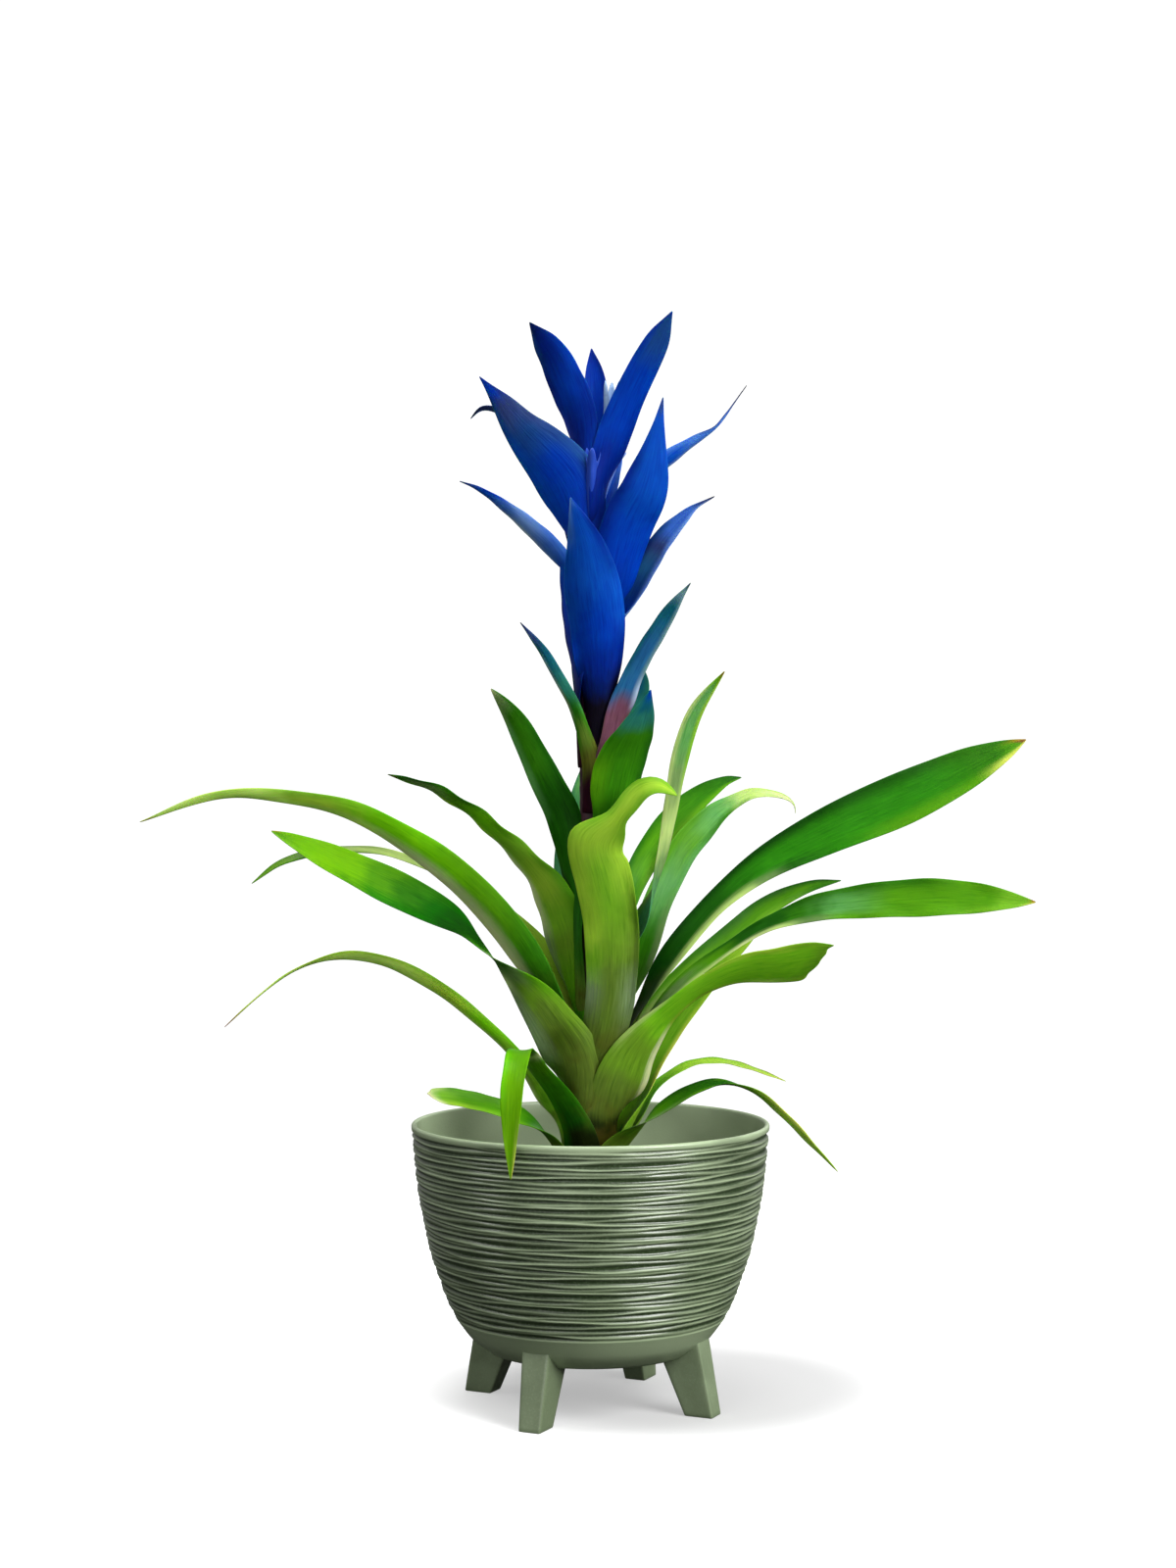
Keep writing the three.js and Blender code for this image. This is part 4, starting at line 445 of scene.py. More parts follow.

# How each leaf is coloured: ramps of "share of the length, shade" along its middle and along
# its lower and upper margin, seen from the side. Where a leaf faces the front, low is its left
# margin and top its right one. reach: share of the width that a margin's shades run in, if not
# MARGIN_REACH. The pale and cream stops along the margins are partly the leaf's own paler
# margins and partly painted highlight; other painted light and shade is marked at the shades.
LEAF_PAINT = {
    "leaf_left_inner": {
        "mid": "0 sheath, .2 dark, .65 dark, .78 mid, .9 mid, .96 grey, 1 cream",
        "low": ".3 deep, .55 dark, .7 cool, .85 cool, .95 grey, 1 cream",
        "top": ".3 deep, .8 dark, 1 mid"},
    "leaf_right_inner": {
        "mid": "0 sheath, .2 dark, .36 aqua, .46 grey, .55 pale, .68 grey, .8 cool, .93 cool, "
               ".97 fresh, 1 red_brown",
        "low": ".2 deep, .34 aqua, .46 grey, .6 pale, .75 light, .95 lime",
        "top": ".3 mid, .46 pale, .9 pale, .97 light"},
    "leaf_front_curled": {
        "reach": 0.5,
        "mid": "0 olive, .08 bog, .2 moss, .3 moss, .4 herb, .52 light, .62 light, .72 lime",
        "low": ".05 mid, .14 moss, .26 stone, .36 light, .46 lime, .66 lime, .76 light",
        "top": ".05 olive, .14 bog, .26 stone, .38 moss, .5 herb, .64 lime, .76 light"},
    "leaf_right_back": {
        "mid": "0 sheath, .3 mid, .5 fresh, .8 mid, 1 dark",
        "low": ".3 mid, .55 light, .9 fresh",
        "top": ".3 dark, .6 mid, 1 dark"},
    "leaf_right_curled": {
        "mid": "0 sheath, .3 mid, .45 cool, .58 fresh, .7 cool, .8 pale, .95 cream, 1 lime",
        "low": ".3 grey, .5 cool, .7 mid, .85 pale, 1 cream",
        "top": ".3 mid, .5 fresh, .62 fresh, .72 cool, .8 pale, .95 lime"},
    "leaf_right_long": {
        "mid": "0 olive, .2 deep, .35 dark, .5 grass, .8 grass, .93 mid, .98 fresh, 1 brown",
        "low": ".12 grey, .3 pale, .42 pale, .47 grey, .53 dark, .62 grass, .75 fresh, .88 fresh, "
               ".97 yellow",
        "top": ".55 deep, .75 dark, .95 mid, 1 blotch"},
    "leaf_right_level": {
        "mid": "0 olive, .25 grey, .36 fresh, .42 dark, .5 dark, .54 mid, .62 cool, .74 fresh, "
               ".9 fresh, .97 light, 1 blotch",
        "low": ".2 grey, .34 pale, .44 cream, .5 pale, .56 grey, .64 fresh, .8 fresh, .95 light, "
               "1 yellow",
        "top": ".3 fresh, .4 dark, .52 dark, .6 mid, .75 mid, .9 fresh, .98 light, 1 red_brown"},
    "leaf_right_short": {
        "reach": 0.5,
        "mid": "0 sheath, .3 pale, .45 light, .6 fresh, .85 fresh, 1 mid",
        "low": ".5 cream, .7 light, .95 mid",
        "top": ".3 fresh, .6 mid, 1 dark"},
    "leaf_right_torn": {
        "reach": 0.2,
        "mid": ".06 black_green, .12 bog, .18 moss, .24 herb, .32 herb, .4 vivid, .92 vivid, "
               "1 light",
        "low": ".02 olive, .1 moss, .18 cream, .36 cream, .42 lime, .6 lime, .8 lemon, 1 lime",
        "top": ".05 black_green, .11 olive, .17 moss, .24 herb, .4 pale, .5 vivid, .65 lime, "
               ".8 lime, 1 light"},
    "leaf_right_steep": {
        "mid": "0 olive, .06 moss, .14 light, .7 light, 1 lime",
        "low": ".04 light, .14 yellow, .4 yellow, .7 lime",
        "top": ".04 moss, .14 light, .7 fresh"},
    "leaf_right_thin": {
        "mid": "0 sheath, .3 fresh, .6 lime",
        "low": ".3 light, .6 lime, 1 yellow",
        "top": ".3 fresh, .6 light, 1 brown"},
    "leaf_right_drooping": {
        "mid": "0 sheath, .25 fresh, .4 mid, .52 dark, .62 fresh, .8 lime, .95 lime, 1 brown",
        "low": ".25 grey, .45 fresh, .6 mid, .8 lime, 1 yellow",
        "top": ".25 mid, .45 dark, .6 light, .8 yellow, 1 lime"},
    "leaf_left_long": {
        "reach": 0.5,
        "mid": "0 olive, .1 dark, .22 mid, .35 fresh, .5 bright, .6 bright, .7 lime, .82 lemon, "
               ".97 lemon, 1 brown",
        "low": ".06 grey, .14 cream, .5 cream, .62 lemon",
        "top": ".1 dark, .25 mid, .42 fresh, .55 bright, .7 light, .85 lemon, 1 pale"},
    "leaf_left_twisted": {
        "reach": 0.42,
        "mid": "0 black_green, .05 bog, .12 bog, .2 loden, .26 moss, .31 herb, .37 grey, .41 mid, "
               ".46 deep, .52 deep, .6 jade, .68 mid, .75 fresh, .81 apple, .91 apple, 1 fresh",
        "low": ".02 bog, .08 moss, .2 stone, .3 stone, .37 cream, .42 grey, .47 mid, .54 deep, "
               ".64 jade, .74 grass, .8 fresh, .86 apple, 1 light",
        "top": ".02 olive, .1 bog, .16 moss, .22 herb, .34 fresh, .4 mid, .46 deep, .54 jade, "
               ".64 mid, .74 fresh, .82 apple, .97 apple, 1 blotch"},
    "leaf_left_arching": {
        "mid": "0 sheath, .08 light, .24 light, .34 bright, .45 lime, .6 lemon, .92 lemon, 1 brown",
        "low": ".03 sheath, .12 pale, .2 pale, .4 lemon",
        "top": ".14 light, .24 bright, .4 light, .7 lime, .9 yellow, 1 brown"},
    "leaf_front_hanging": {
        "mid": ".08 black_green, .14 deep, .24 mid, .38 fresh, .43 pale, .48 mid, .56 fresh, "
               ".8 apple, .9 apple, 1 light",
        "low": ".04 dark, .24 mid, .38 fresh, .43 cream, .49 mid, .7 bright, .85 apple, 1 lime",
        "top": ".07 black_green, .14 dark, .28 mid, .38 fresh, .43 cream, .5 fresh, .8 apple, "
               "1 yellow"},
    "leaf_left_low": {
        "mid": "0 sheath, .3 mid, .5 fresh, .75 fresh, .92 light, 1 cream",
        "low": ".3 fresh, .6 light, .9 lime, 1 cream",
        "top": ".3 mid, .6 fresh, .85 fresh, 1 pale"},
    "leaf_left_narrow": {
        "mid": ".08 yellow, .22 lime, .35 lime, .5 pale, .7 pale, .85 grey, .95 light",
        "low": "0 yellow, .2 lime, .3 light, .6 pale, .8 mid, 1 light",
        "top": ".2 lime, .6 pale, .8 grey, 1 fresh"},
    "leaf_left_upper": {
        "mid": "0 olive, .12 mid, .2 fresh, .3 herb, .38 light, .48 lime, .6 light, .7 bright, "
               ".8 fresh, .9 grey, .97 mid, 1 brown",
        "low": ".08 grey, .3 stone, .42 cream, .55 cream, .7 lime, .85 lime, 1 light",
        "top": ".1 fresh, .3 mid, .44 fresh, .56 light, .68 fresh, .78 mid, .95 dark"},
    "leaf_back_inner": {
        "mid": "0 sheath, .3 mid, .5 aqua, .8 aqua, .95 cool, 1 brown",
        "low": ".3 mid, .6 cool",
        "top": ".3 dark, .6 aqua"},
    "leaf_back_upright": {
        "mid": "0 sheath, .3 mid, .6 fresh, .9 light, 1 brown",
        "low": ".3 grey, .7 light",
        "top": ".3 mid, .7 fresh"},
    "leaf_back_arching": {
        "mid": "0 sheath, .3 dark, .6 mid, .9 fresh, 1 lime",
        "low": ".3 mid, .7 light",
        "top": ".3 grey, .7 pale"},
    "leaf_back_low": {
        "mid": "0 sheath, .3 mid, .6 fresh, .9 fresh, 1 lime",
        "low": ".3 pale, .7 light",
        "top": ".3 mid, .7 fresh"},
    "leaf_back_lowest": {
        "mid": "0 sheath, .3 mid, .6 fresh, .9 light, 1 yellow",
        "low": ".3 mid, .7 fresh",
        "top": ".3 pale, .7 lime"},
}

BRACT_PAINT = {
    "bract_front_green": {
        "mid": "0 maroon, .1 olive, .22 dark, .45 mid, .74 mid, .84 sea, .9 teal, 1 blue",
        "low": ".1 olive, .25 mid, .5 fresh, .7 mid, .85 sea, 1 teal",
        "top": ".1 maroon, .3 dark, .74 dark, .86 sea, 1 deep_blue"},
    "bract_left_lower": {
        "mid": ".14 maroon, .26 olive, .36 moss, .5 dark, .64 sea, .8 teal, .93 dusk, 1 ink",
        "low": ".1 maroon, .24 olive, .4 mid, .55 stone, .75 mist, .85 sea, 1 mist",
        "top": ".14 maroon, .3 olive, .45 mid, .62 sea, .8 teal, 1 dusk"},
    "bract_right_lower": {
        "mid": "0 maroon, .14 plum, .34 plum, .44 steel, .65 steel, .85 teal, .95 mist, 1 ink",
        "low": ".1 maroon, .3 plum, .42 ice, .55 mist",
        "top": ".1 maroon, .28 plum, .4 steel, .6 teal, .8 teal, 1 mist"},
    "bract_right_behind": {
        "mid": "0 maroon, .3 dark, .55 sea, .8 teal",
        "low": ".3 mid, .6 sea",
        "top": ".3 mid, .6 sea, .9 teal"},
    "bract_left_dark": {
        "mid": ".2 maroon, .36 navy, .55 deep_blue, .75 blue, 1 bright_blue",
        "low": ".1 ink, .3 maroon, .42 navy, .7 deep_blue, 1 blue",
        "top": ".2 maroon, .34 navy, .6 blue, 1 bright_blue"},
    "bract_front_large": {
        "mid": "0 maroon, .1 ink, .19 ink, .27 navy, .36 deep_blue, .48 blue, .68 bright_blue, "
               ".94 bright_blue, 1 soft_blue",
        "low": ".1 maroon, .2 ink, .28 navy, .42 blue, .55 bright_blue, .78 bright_blue, "
               ".92 soft_blue, 1 sky",
        "top": ".28 ink, .4 deep_blue, .6 bright_blue, .85 deep_blue, 1 blue"},
    "bract_right_middle": {
        "mid": "0 blue, .25 bright_blue, .4 slate, .52 steel, .62 dusk, .72 soft_blue, "
               ".85 soft_blue, .93 dusk, 1 ink",
        "low": ".15 soft_blue, .35 sky, .85 sky, 1 dusk",
        "top": ".2 bright_blue, .45 slate, .6 navy, .7 slate, .85 soft_blue, 1 ink"},
    "bract_right_wide": {
        "mid": "0 navy, .15 deep_blue, .4 blue, .7 bright_blue, .9 bright_blue, 1 dusk",
        "low": ".4 blue, .7 bright_blue",
        "top": ".15 navy, .45 deep_blue, .7 deep_blue, .9 bright_blue"},
    "bract_left_thin": {
        "mid": "0 deep_blue, .3 bright_blue, .42 soft_blue, .6 sky, .72 soft_blue, "
               ".85 bright_blue, 1 dusk",
        "low": ".2 bright_blue, .4 sky, .6 ice, .8 soft_blue",
        "top": ".2 bright_blue, .45 soft_blue, .65 sky, .8 blue, 1 dusk"},
    "bract_left_large": {
        "mid": "0 navy, .15 deep_blue, .32 blue, .55 blue, .7 slate, .84 dusk, .93 blue, "
               "1 deep_blue",
        "low": ".15 blue, .4 bright_blue, .65 bright_blue, .85 slate, 1 blue",
        "top": ".15 navy, .35 deep_blue, .55 slate, .8 dusk, 1 deep_blue"},
    "bract_right_far": {
        "mid": "0 deep_blue, .3 blue, .55 bright_blue, .7 soft_blue, .8 soft_blue, 1 ink",
        "low": ".3 bright_blue, .6 sky, .8 soft_blue, 1 dusk",
        "top": ".3 deep_blue, .6 soft_blue, .8 dusk, 1 ink"},
    "bract_left_behind": {
        "mid": "0 deep_blue, .4 blue, .7 bright_blue, .85 dusk, 1 ink",
        "low": ".3 blue, .7 soft_blue, .9 sky",
        "top": ".3 deep_blue, .7 dusk"},
    "bract_right_inner": {
        "mid": "0 navy, .2 deep_blue, .35 deep_blue, .5 blue, .7 blue, .88 slate, .95 slate, "
               "1 deep_blue",
        "low": ".15 blue, .4 deep_blue, .7 blue, .9 slate",
        "top": ".15 navy, .3 deep_blue, .5 blue, .75 blue, 1 deep_blue"},
    "bract_left_inner": {
        "mid": "0 navy, .2 deep_blue, .45 deep_blue, .65 blue, .85 deep_blue, 1 navy",
        "low": ".15 bright_blue, .4 blue, .7 deep_blue, .92 slate, 1 dusk",
        "top": ".15 deep_blue, .3 blue, .5 deep_blue, .8 blue, 1 navy"},
    "bract_back_inner": {
        "mid": "0 blue, .3 bright_blue, .5 blue, .8 blue, 1 deep_blue",
        "low": ".2 bright_blue, .5 blue, .9 deep_blue",
        "top": ".2 blue, .5 deep_blue, .9 blue"},
    "bract_back_lower": {
        "mid": "0 maroon, .3 navy, .6 blue, .85 teal, 1 ink",
        "low": ".3 deep_blue, .7 sea",
        "top": ".3 navy, .7 teal"},
    "bract_back_middle": {
        "mid": "0 navy, .3 deep_blue, .6 blue, .85 soft_blue, 1 ink",
        "low": ".3 blue, .7 soft_blue",
        "top": ".3 deep_blue, .7 blue"},
    "bract_back_upper": {
        "mid": "0 navy, .3 blue, .6 bright_blue, .85 dusk, 1 ink",
        "low": ".3 blue, .7 soft_blue",
        "top": ".3 deep_blue, .7 blue"},
    "bract_back_top": {
        "mid": "0 navy, .3 blue, .6 bright_blue, .85 dusk, 1 ink",
        "low": ".3 blue, .7 soft_blue",
        "top": ".3 deep_blue, .7 blue"},
}


# Numbers and curves

def mix(a, b, share):
    return a + (b - a) * share


def smooth(x):
    c = min(1.0, max(0.0, x))
    return c * c * (3 - 2 * c)


def row_below(rows, x):
    """Index of the last row whose first value isn't above x."""
    i = 0
    while i + 2 < len(rows) and rows[i + 1][0] <= x:
        i += 1
    return i


def along(rows, x):
    """Value at x of a line drawn through rows of [x, value]."""
    if x <= rows[0][0]:
        return rows[0][1]
    if x >= rows[-1][0]:
        return rows[-1][1]
    i = row_below(rows, x)
    (x0, v0), (x1, v1) = rows[i][:2], rows[i + 1][:2]
    return mix(v0, v1, (x - x0) / (x1 - x0))


def curved_along(rows, x, blunt=2.0):
    """The same drawn as a smooth curve. Where it ends at 0, blunt 1 gives a point and 2 a
    rounded end."""
    last = len(rows) - 1
    if x <= rows[0][0]:
        return rows[0][1]
    if x >= rows[last][0]:
        return rows[last][1]

    def slope(k):
        if k in (0, last):
            return 0.0
        return (rows[k + 1][1] - rows[k - 1][1]) / (rows[k + 1][0] - rows[k - 1][0])

    i = row_below(rows, x)
    (x0, v0), (x1, v1) = rows[i], rows[i + 1]
    span = x1 - x0
    u = (x - x0) / span
    leaving = slope(i)
    arriving = -blunt * v0 / span if i + 1 == last and v1 == 0 else slope(i + 1)
    return mix(v0, v1, smooth(u)) + span * u * (1 - u) * (leaving * (1 - u) - arriving * u)


def wave(rows, angle, i):
    """Sum of waves round the pot for ridge number i."""
    return sum(share * math.sin(waves * angle + i * turn + start)
               for share, waves, turn, start in rows)


def around(radius, angle, height):
    """A place at this distance from the axis, in metres."""
    return Vector((radius * math.cos(angle), radius * math.sin(angle), height)) * MM


def soil_height(radius):
    return along([[r, h] for r, h in reversed(SOIL_TOP)], radius)


def rib_points(leaf):
    angle = math.radians(leaf["az"])
    c, s = math.cos(angle), math.sin(angle)
    return [Vector((out * c - side * s, out * s + side * c, up)) * MM
            for out, side, up in leaf["rib"]]


def curve_through(points, steps=24):
    """A smooth curve through the points, as [length so far, place] at many places."""
    ends = [points[0] * 2 - points[1], *points, points[-1] * 2 - points[-2]]
    places = []
    for i in range(len(points) - 1):
        p0, p1, p2, p3 = ends[i:i + 4]
        t0 = 0.0
        t1 = t0 + max(1e-9, (p1 - p0).length) ** 0.5
        t2 = t1 + max(1e-9, (p2 - p1).length) ** 0.5
        t3 = t2 + max(1e-9, (p3 - p2).length) ** 0.5
        for k in range(steps + (1 if i == len(points) - 2 else 0)):
            t = mix(t1, t2, k / steps)
            a1 = p0 * ((t1 - t) / (t1 - t0)) + p1 * ((t - t0) / (t1 - t0))
            a2 = p1 * ((t2 - t) / (t2 - t1)) + p2 * ((t - t1) / (t2 - t1))
            a3 = p2 * ((t3 - t) / (t3 - t2)) + p3 * ((t - t2) / (t3 - t2))
            b1 = a1 * ((t2 - t) / (t2 - t0)) + a2 * ((t - t0) / (t2 - t0))
            b2 = a2 * ((t3 - t) / (t3 - t1)) + a3 * ((t - t1) / (t3 - t1))
            places.append(b1 * ((t2 - t) / (t2 - t1)) + b2 * ((t - t1) / (t2 - t1)))
    rows = [[0.0, places[0]]]
    for here in places[1:]:
        rows.append([rows[-1][0] + (here - rows[-1][1]).length, here])
    return rows


def place_on(curve, t):
    """Place and direction at a share t of the curve's length."""
    length = curve[-1][0]
    at = min(1.0, max(0.0, t)) * length
    i = row_below(curve, at)
    (d0, p0), (d1, p1) = curve[i], curve[i + 1]
    place = p0.lerp(p1, (at - d0) / max(1e-9, d1 - d0))
    before = curve[max(0, i - 2)][1]
    after = curve[min(len(curve) - 1, i + 3)][1]
    return place, (after - before).normalized()


# Meshes, with Blender's own operators

def select_only(piece):
    bpy.ops.object.select_all(action="DESELECT")
    piece.select_set(True)
    bpy.context.view_layer.objects.active = piece


def apply_modifier(piece, kind, **settings):
    select_only(piece)
    modifier = piece.modifiers.new(kind.title(), kind)
    for key, value in settings.items():
        setattr(modifier, key, value)
    bpy.ops.object.modifier_apply(modifier=modifier.name)


def sheet(name, columns, rows):
    """A flat grid to be shaped, with u across it and v along it."""
    bpy.ops.object.select_all(action="DESELECT")
    bpy.ops.mesh.primitive_grid_add(x_subdivisions=columns, y_subdivisions=rows, size=1)
    piece = bpy.context.active_object
    piece.name = name
    piece.data.name = name
    return piece


def shape(piece, place_of):
    """Moves every point of a flat grid to place_of(u, v), in metres."""
    for vertex in piece.data.vertices:
        u = min(1.0, max(0.0, vertex.co.x + 0.5))
        v = min(1.0, max(0.0, vertex.co.y + 0.5))
        vertex.co = place_of(u, v)
    piece.data.update()


def weld(piece):
    """Joins the points that meet at a seam or a pole."""
    select_only(piece)
    bpy.ops.object.mode_set(mode="EDIT")
    bpy.ops.mesh.select_all(action="SELECT")
    bpy.ops.mesh.remove_doubles(threshold=WELD_REACH)
    bpy.ops.mesh.normals_make_consistent(inside=False)
    bpy.ops.object.mode_set(mode="OBJECT")


def shade_smooth(piece, angle=None):
    select_only(piece)
    if angle is None:
        bpy.ops.object.shade_smooth()
    else:
        bpy.ops.object.shade_smooth_by_angle(angle=math.radians(angle))


def set_values(piece, name, values):
    """Stores one number a point, for the piece's own material."""
    if name in piece.data.attributes:
        piece.data.attributes.remove(piece.data.attributes[name])
    attribute = piece.data.attributes.new(name, "FLOAT", "POINT")
    attribute.data.foreach_set("value", values)


def finish_piece(piece, node, material):
    piece.data.materials.clear()
    piece.data.materials.append(material)
    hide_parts(node)
    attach(piece, "root")


# Materials

def linear(rgb):
    """A shade as it looks, 0 to 255, as the light it reflects, with full opacity."""
    def channel(value):
        c = value / 255
        return c / 12.92 if c <= 0.04045 else ((c + 0.055) / 1.055) ** 2.4
    return (*[channel(value) for value in rgb], 1.0)


class Nodes:
    """Short ways to build one material's nodes."""

    def __init__(self, name):
        self.material = bpy.data.materials.new(name)
        self.material.use_nodes = True
        self.tree = self.material.node_tree
        self.shader = self.tree.nodes["Principled BSDF"]

    def add(self, kind, **settings):
        node = self.tree.nodes.new(kind)
        for key, value in settings.items():
            setattr(node, key, value)
        return node

    def link(self, source, socket):
        if hasattr(source, "is_output"):
            self.tree.links.new(source, socket)
        else:
            socket.default_value = source

    def value(self, name):
        node = self.add("ShaderNodeAttribute", attribute_name=name)
        return node.outputs["Fac"]

    def math(self, operation, a, b=0.0, c=0.0):
        node = self.add("ShaderNodeMath", operation=operation)
        for socket, source in zip(node.inputs, (a, b, c)):
            self.link(source, socket)
        return node.outputs[0]

    def step(self, value, start, end, low=0.0, high=1.0):
        node = self.add("ShaderNodeMapRange", interpolation_type="SMOOTHSTEP")
        for key, source in (("Value", value), ("From Min", start), ("From Max", end),
                            ("To Min", low), ("To Max", high)):
            self.link(source, node.inputs[key])
        return node.outputs["Result"]

    def ramp(self, value, stops):
        node = self.add("ShaderNodeValToRGB")
        node.color_ramp.interpolation = "EASE"
        points = node.color_ramp.elements
        while len(points) > 1:
            points.remove(points[-1])
        for i, (at, rgb) in enumerate(stops):
            point = points[0] if i == 0 else points.new(at)
            point.position = at
            point.color = linear(rgb)
        self.link(value, node.inputs["Fac"])
        return node.outputs["Color"]

    def blend(self, share, a, b, how="MIX"):
        node = self.add("ShaderNodeMix", data_type="RGBA", blend_type=how)
        self.link(share, node.inputs["Factor"])
        self.link(a, [s for s in node.inputs if s.name == "A" and s.type == "RGBA"][0])
        self.link(b, [s for s in node.inputs if s.name == "B" and s.type == "RGBA"][0])
        return [s for s in node.outputs if s.type == "RGBA"][0]

    def noise(self, vector, scale, detail=3.0, roughness=0.5):
        node = self.add("ShaderNodeTexNoise")
        self.link(vector, node.inputs["Vector"])
        node.inputs["Scale"].default_value = scale
        node.inputs["Detail"].default_value = detail
        node.inputs["Roughness"].default_value = roughness
        return node.outputs["Fac"]

    def vector(self, x, y, z=0.0):
        node = self.add("ShaderNodeCombineXYZ")
        for socket, source in zip(node.inputs, (x, y, z)):
            self.link(source, socket)
        return node.outputs[0]

    def place(self):
        return self.add("ShaderNodeTexCoord").outputs["Object"]

    def uv(self):
        node = self.add("ShaderNodeSeparateXYZ")
        self.link(self.add("ShaderNodeTexCoord").outputs["UV"], node.inputs[0])
        return node.outputs["X"], node.outputs["Y"]

    def bump(self, height, distance, strength=1.0):
        node = self.add("ShaderNodeBump")
        node.inputs["Distance"].default_value = distance
        node.inputs["Strength"].default_value = strength
        self.link(height, node.inputs["Height"])
        self.link(node.outputs["Normal"], self.shader.inputs["Normal"])

    def finish(self, color, roughness, specular=0.5, sheen=0.0):
        self.link(color, self.shader.inputs["Base Color"])
        self.link(roughness, self.shader.inputs["Roughness"])
        self.shader.inputs["Specular IOR Level"].default_value = specular
        self.shader.inputs["Sheen Weight"].default_value = sheen
        return self.material


def stops_of(text):
    """Turns "0 dark, .5 light" into [(0.0, rgb), (0.5, rgb)]."""
    stops = []
    for part in text.split(","):
        at, shade = part.split()
        stops.append((float(at), SHADES[shade]))
    return stops


def blade_material(name, paint, length, width, number, waxy):
    """Colours of one leaf or bract: along it, across it, with veins and streaks."""
    n = Nodes(name)
    u, v = n.uv()
    rise = n.value("rise")
    inner = n.value("inner")
    lanes = n.vector(n.math("MULTIPLY", u, width), n.math("MULTIPLY", v, length * 0.06),
                     float(number) * 3.7)
    cloud = n.noise(n.vector(n.math("MULTIPLY", u, width), n.math("MULTIPLY", v, length),
                             float(number) * 1.3), 60, 3)
    streaks = n.noise(lanes, 900, 2, 0.6)
    veins = n.noise(lanes, 2600, 1, 0.5)
    # The bounds between shades wander a little
    wander = n.math("MULTIPLY_ADD", cloud, 0.16, -0.08)
    at = n.math("ADD", v, n.math("MULTIPLY", wander, 0.5))
    middle = n.ramp(at, stops_of(paint["mid"]))
    low = n.ramp(at, stops_of(paint["low"]))
    top = n.ramp(at, stops_of(paint["top"]))
    side = n.math("ADD", rise, n.math("MULTIPLY_ADD", streaks, 0.24, -0.12))
    reach = paint.get("reach", MARGIN_REACH)
    color = n.blend(n.step(side, 0.06, reach, 1.0, 0.0), middle, low)
    color = n.blend(n.step(side, 1 - reach, 0.97), color, top)
    lighter = n.blend(0.5, color, (1.0, 1.0, 0.85, 1.0), "SOFT_LIGHT")
    darker = n.blend(0.75, color, (0.0, 0.03, 0.0, 1.0), "SOFT_LIGHT")
    color = n.blend(n.step(streaks, 0.5, 0.75, 0.0, 0.75), color, lighter)
    color = n.blend(n.step(streaks, 0.5, 0.26, 0.0, 0.55), color, darker)
    color = n.blend(n.step(veins, 0.5, 0.7, 0.0, 0.22), color, lighter)
    color = n.blend(n.step(cloud, 0.55, 0.8, 0.0, 0.5), color, lighter)
    color = n.blend(n.step(cloud, 0.45, 0.2, 0.0, 0.4), color, darker)
    color = n.blend(n.math("MULTIPLY", inner, 0.35), color, darker)
    if waxy:
        # Brown stains in patches low on the sheaths, partly painted shade where the sheaths overlap
        stain_and_shade = n.math("MULTIPLY", n.step(cloud, 0.42, 0.66), n.step(v, 0.3, 0.04, 0.0, 0.55))
        color = n.blend(stain_and_shade, color, linear(SHADES["stain_and_shade"]))
    roughness = n.math("MULTIPLY_ADD", cloud, 0.22, 0.27 if waxy else 0.36)
    height = n.math("ADD", streaks, n.math("MULTIPLY", veins, 0.4))
    n.bump(height, 0.00025, 0.5)
    n.shader.inputs["Subsurface Weight"].default_value = BLADE_LIGHT
    n.shader.inputs["Subsurface Radius"].default_value = BLADE_LIGHT_COLOURS
    n.shader.inputs["Subsurface Scale"].default_value = BLADE_LIGHT_DEPTH
    return n.finish(color, roughness, specular=0.07 if waxy else 0.05)


def pot_material(name, shade):
    n = Nodes(name)
    place = n.place()
    groove = n.value("groove")
    cloud = n.noise(place, 35, 4)
    grain = n.noise(place, 900, 2)
    # dark: painted shade for the grooves. light: a random paler tone, and a painted crest highlight
    dark = (shade[0] * 0.38, shade[1] * 0.5, shade[2] * 0.28)
    light = tuple(min(255, channel * 1.3 + 44) for channel in shade)
    color = n.blend(n.step(cloud, 0.35, 0.7, 0.0, 0.3), linear(shade), linear(light))
    # Painted highlight on the crests, painted shade down in the grooves, by each point's groove
    # depth
    color = n.blend(n.step(groove, 0.26, 0.04, 0.0, 0.8), color, linear(light))
    color = n.blend(n.step(groove, 0.25, 0.85, 0.0, 0.95), color, linear(dark))
    color = n.blend(n.step(grain, 0.45, 0.75, 0.0, 0.12), color, linear(light))
    roughness = n.math("MULTIPLY_ADD", cloud, 0.14, 0.24)
    n.bump(n.math("ADD", grain, n.math("MULTIPLY", cloud, 0.5)), 0.00012, 0.4)
    return n.finish(color, roughness, specular=0.9)


def bark_material(name, shade):
    n = Nodes(name)
    place = n.place()
    lump = n.noise(place, 180, 5, 0.65)
    grain = n.noise(place, 1400, 3, 0.6)
    chip = n.value("chip")
    pale = tuple(min(255, channel * 2.1 + 12) for channel in shade)
    dark = tuple(channel * 0.35 for channel in shade)
    color = n.blend(n.step(lump, 0.35, 0.65), linear(dark), linear(shade))
    color = n.blend(n.math("MULTIPLY", chip, 0.55), color, linear(pale))
    color = n.blend(n.step(grain, 0.45, 0.7, 0.0, 0.4), color, linear(dark))
    roughness = n.math("MULTIPLY_ADD", grain, 0.15, 0.8)
    n.bump(n.math("ADD", lump, n.math("MULTIPLY", grain, 0.4)), 0.0008, 0.8)
    return n.finish(color, roughness, specular=0.25)


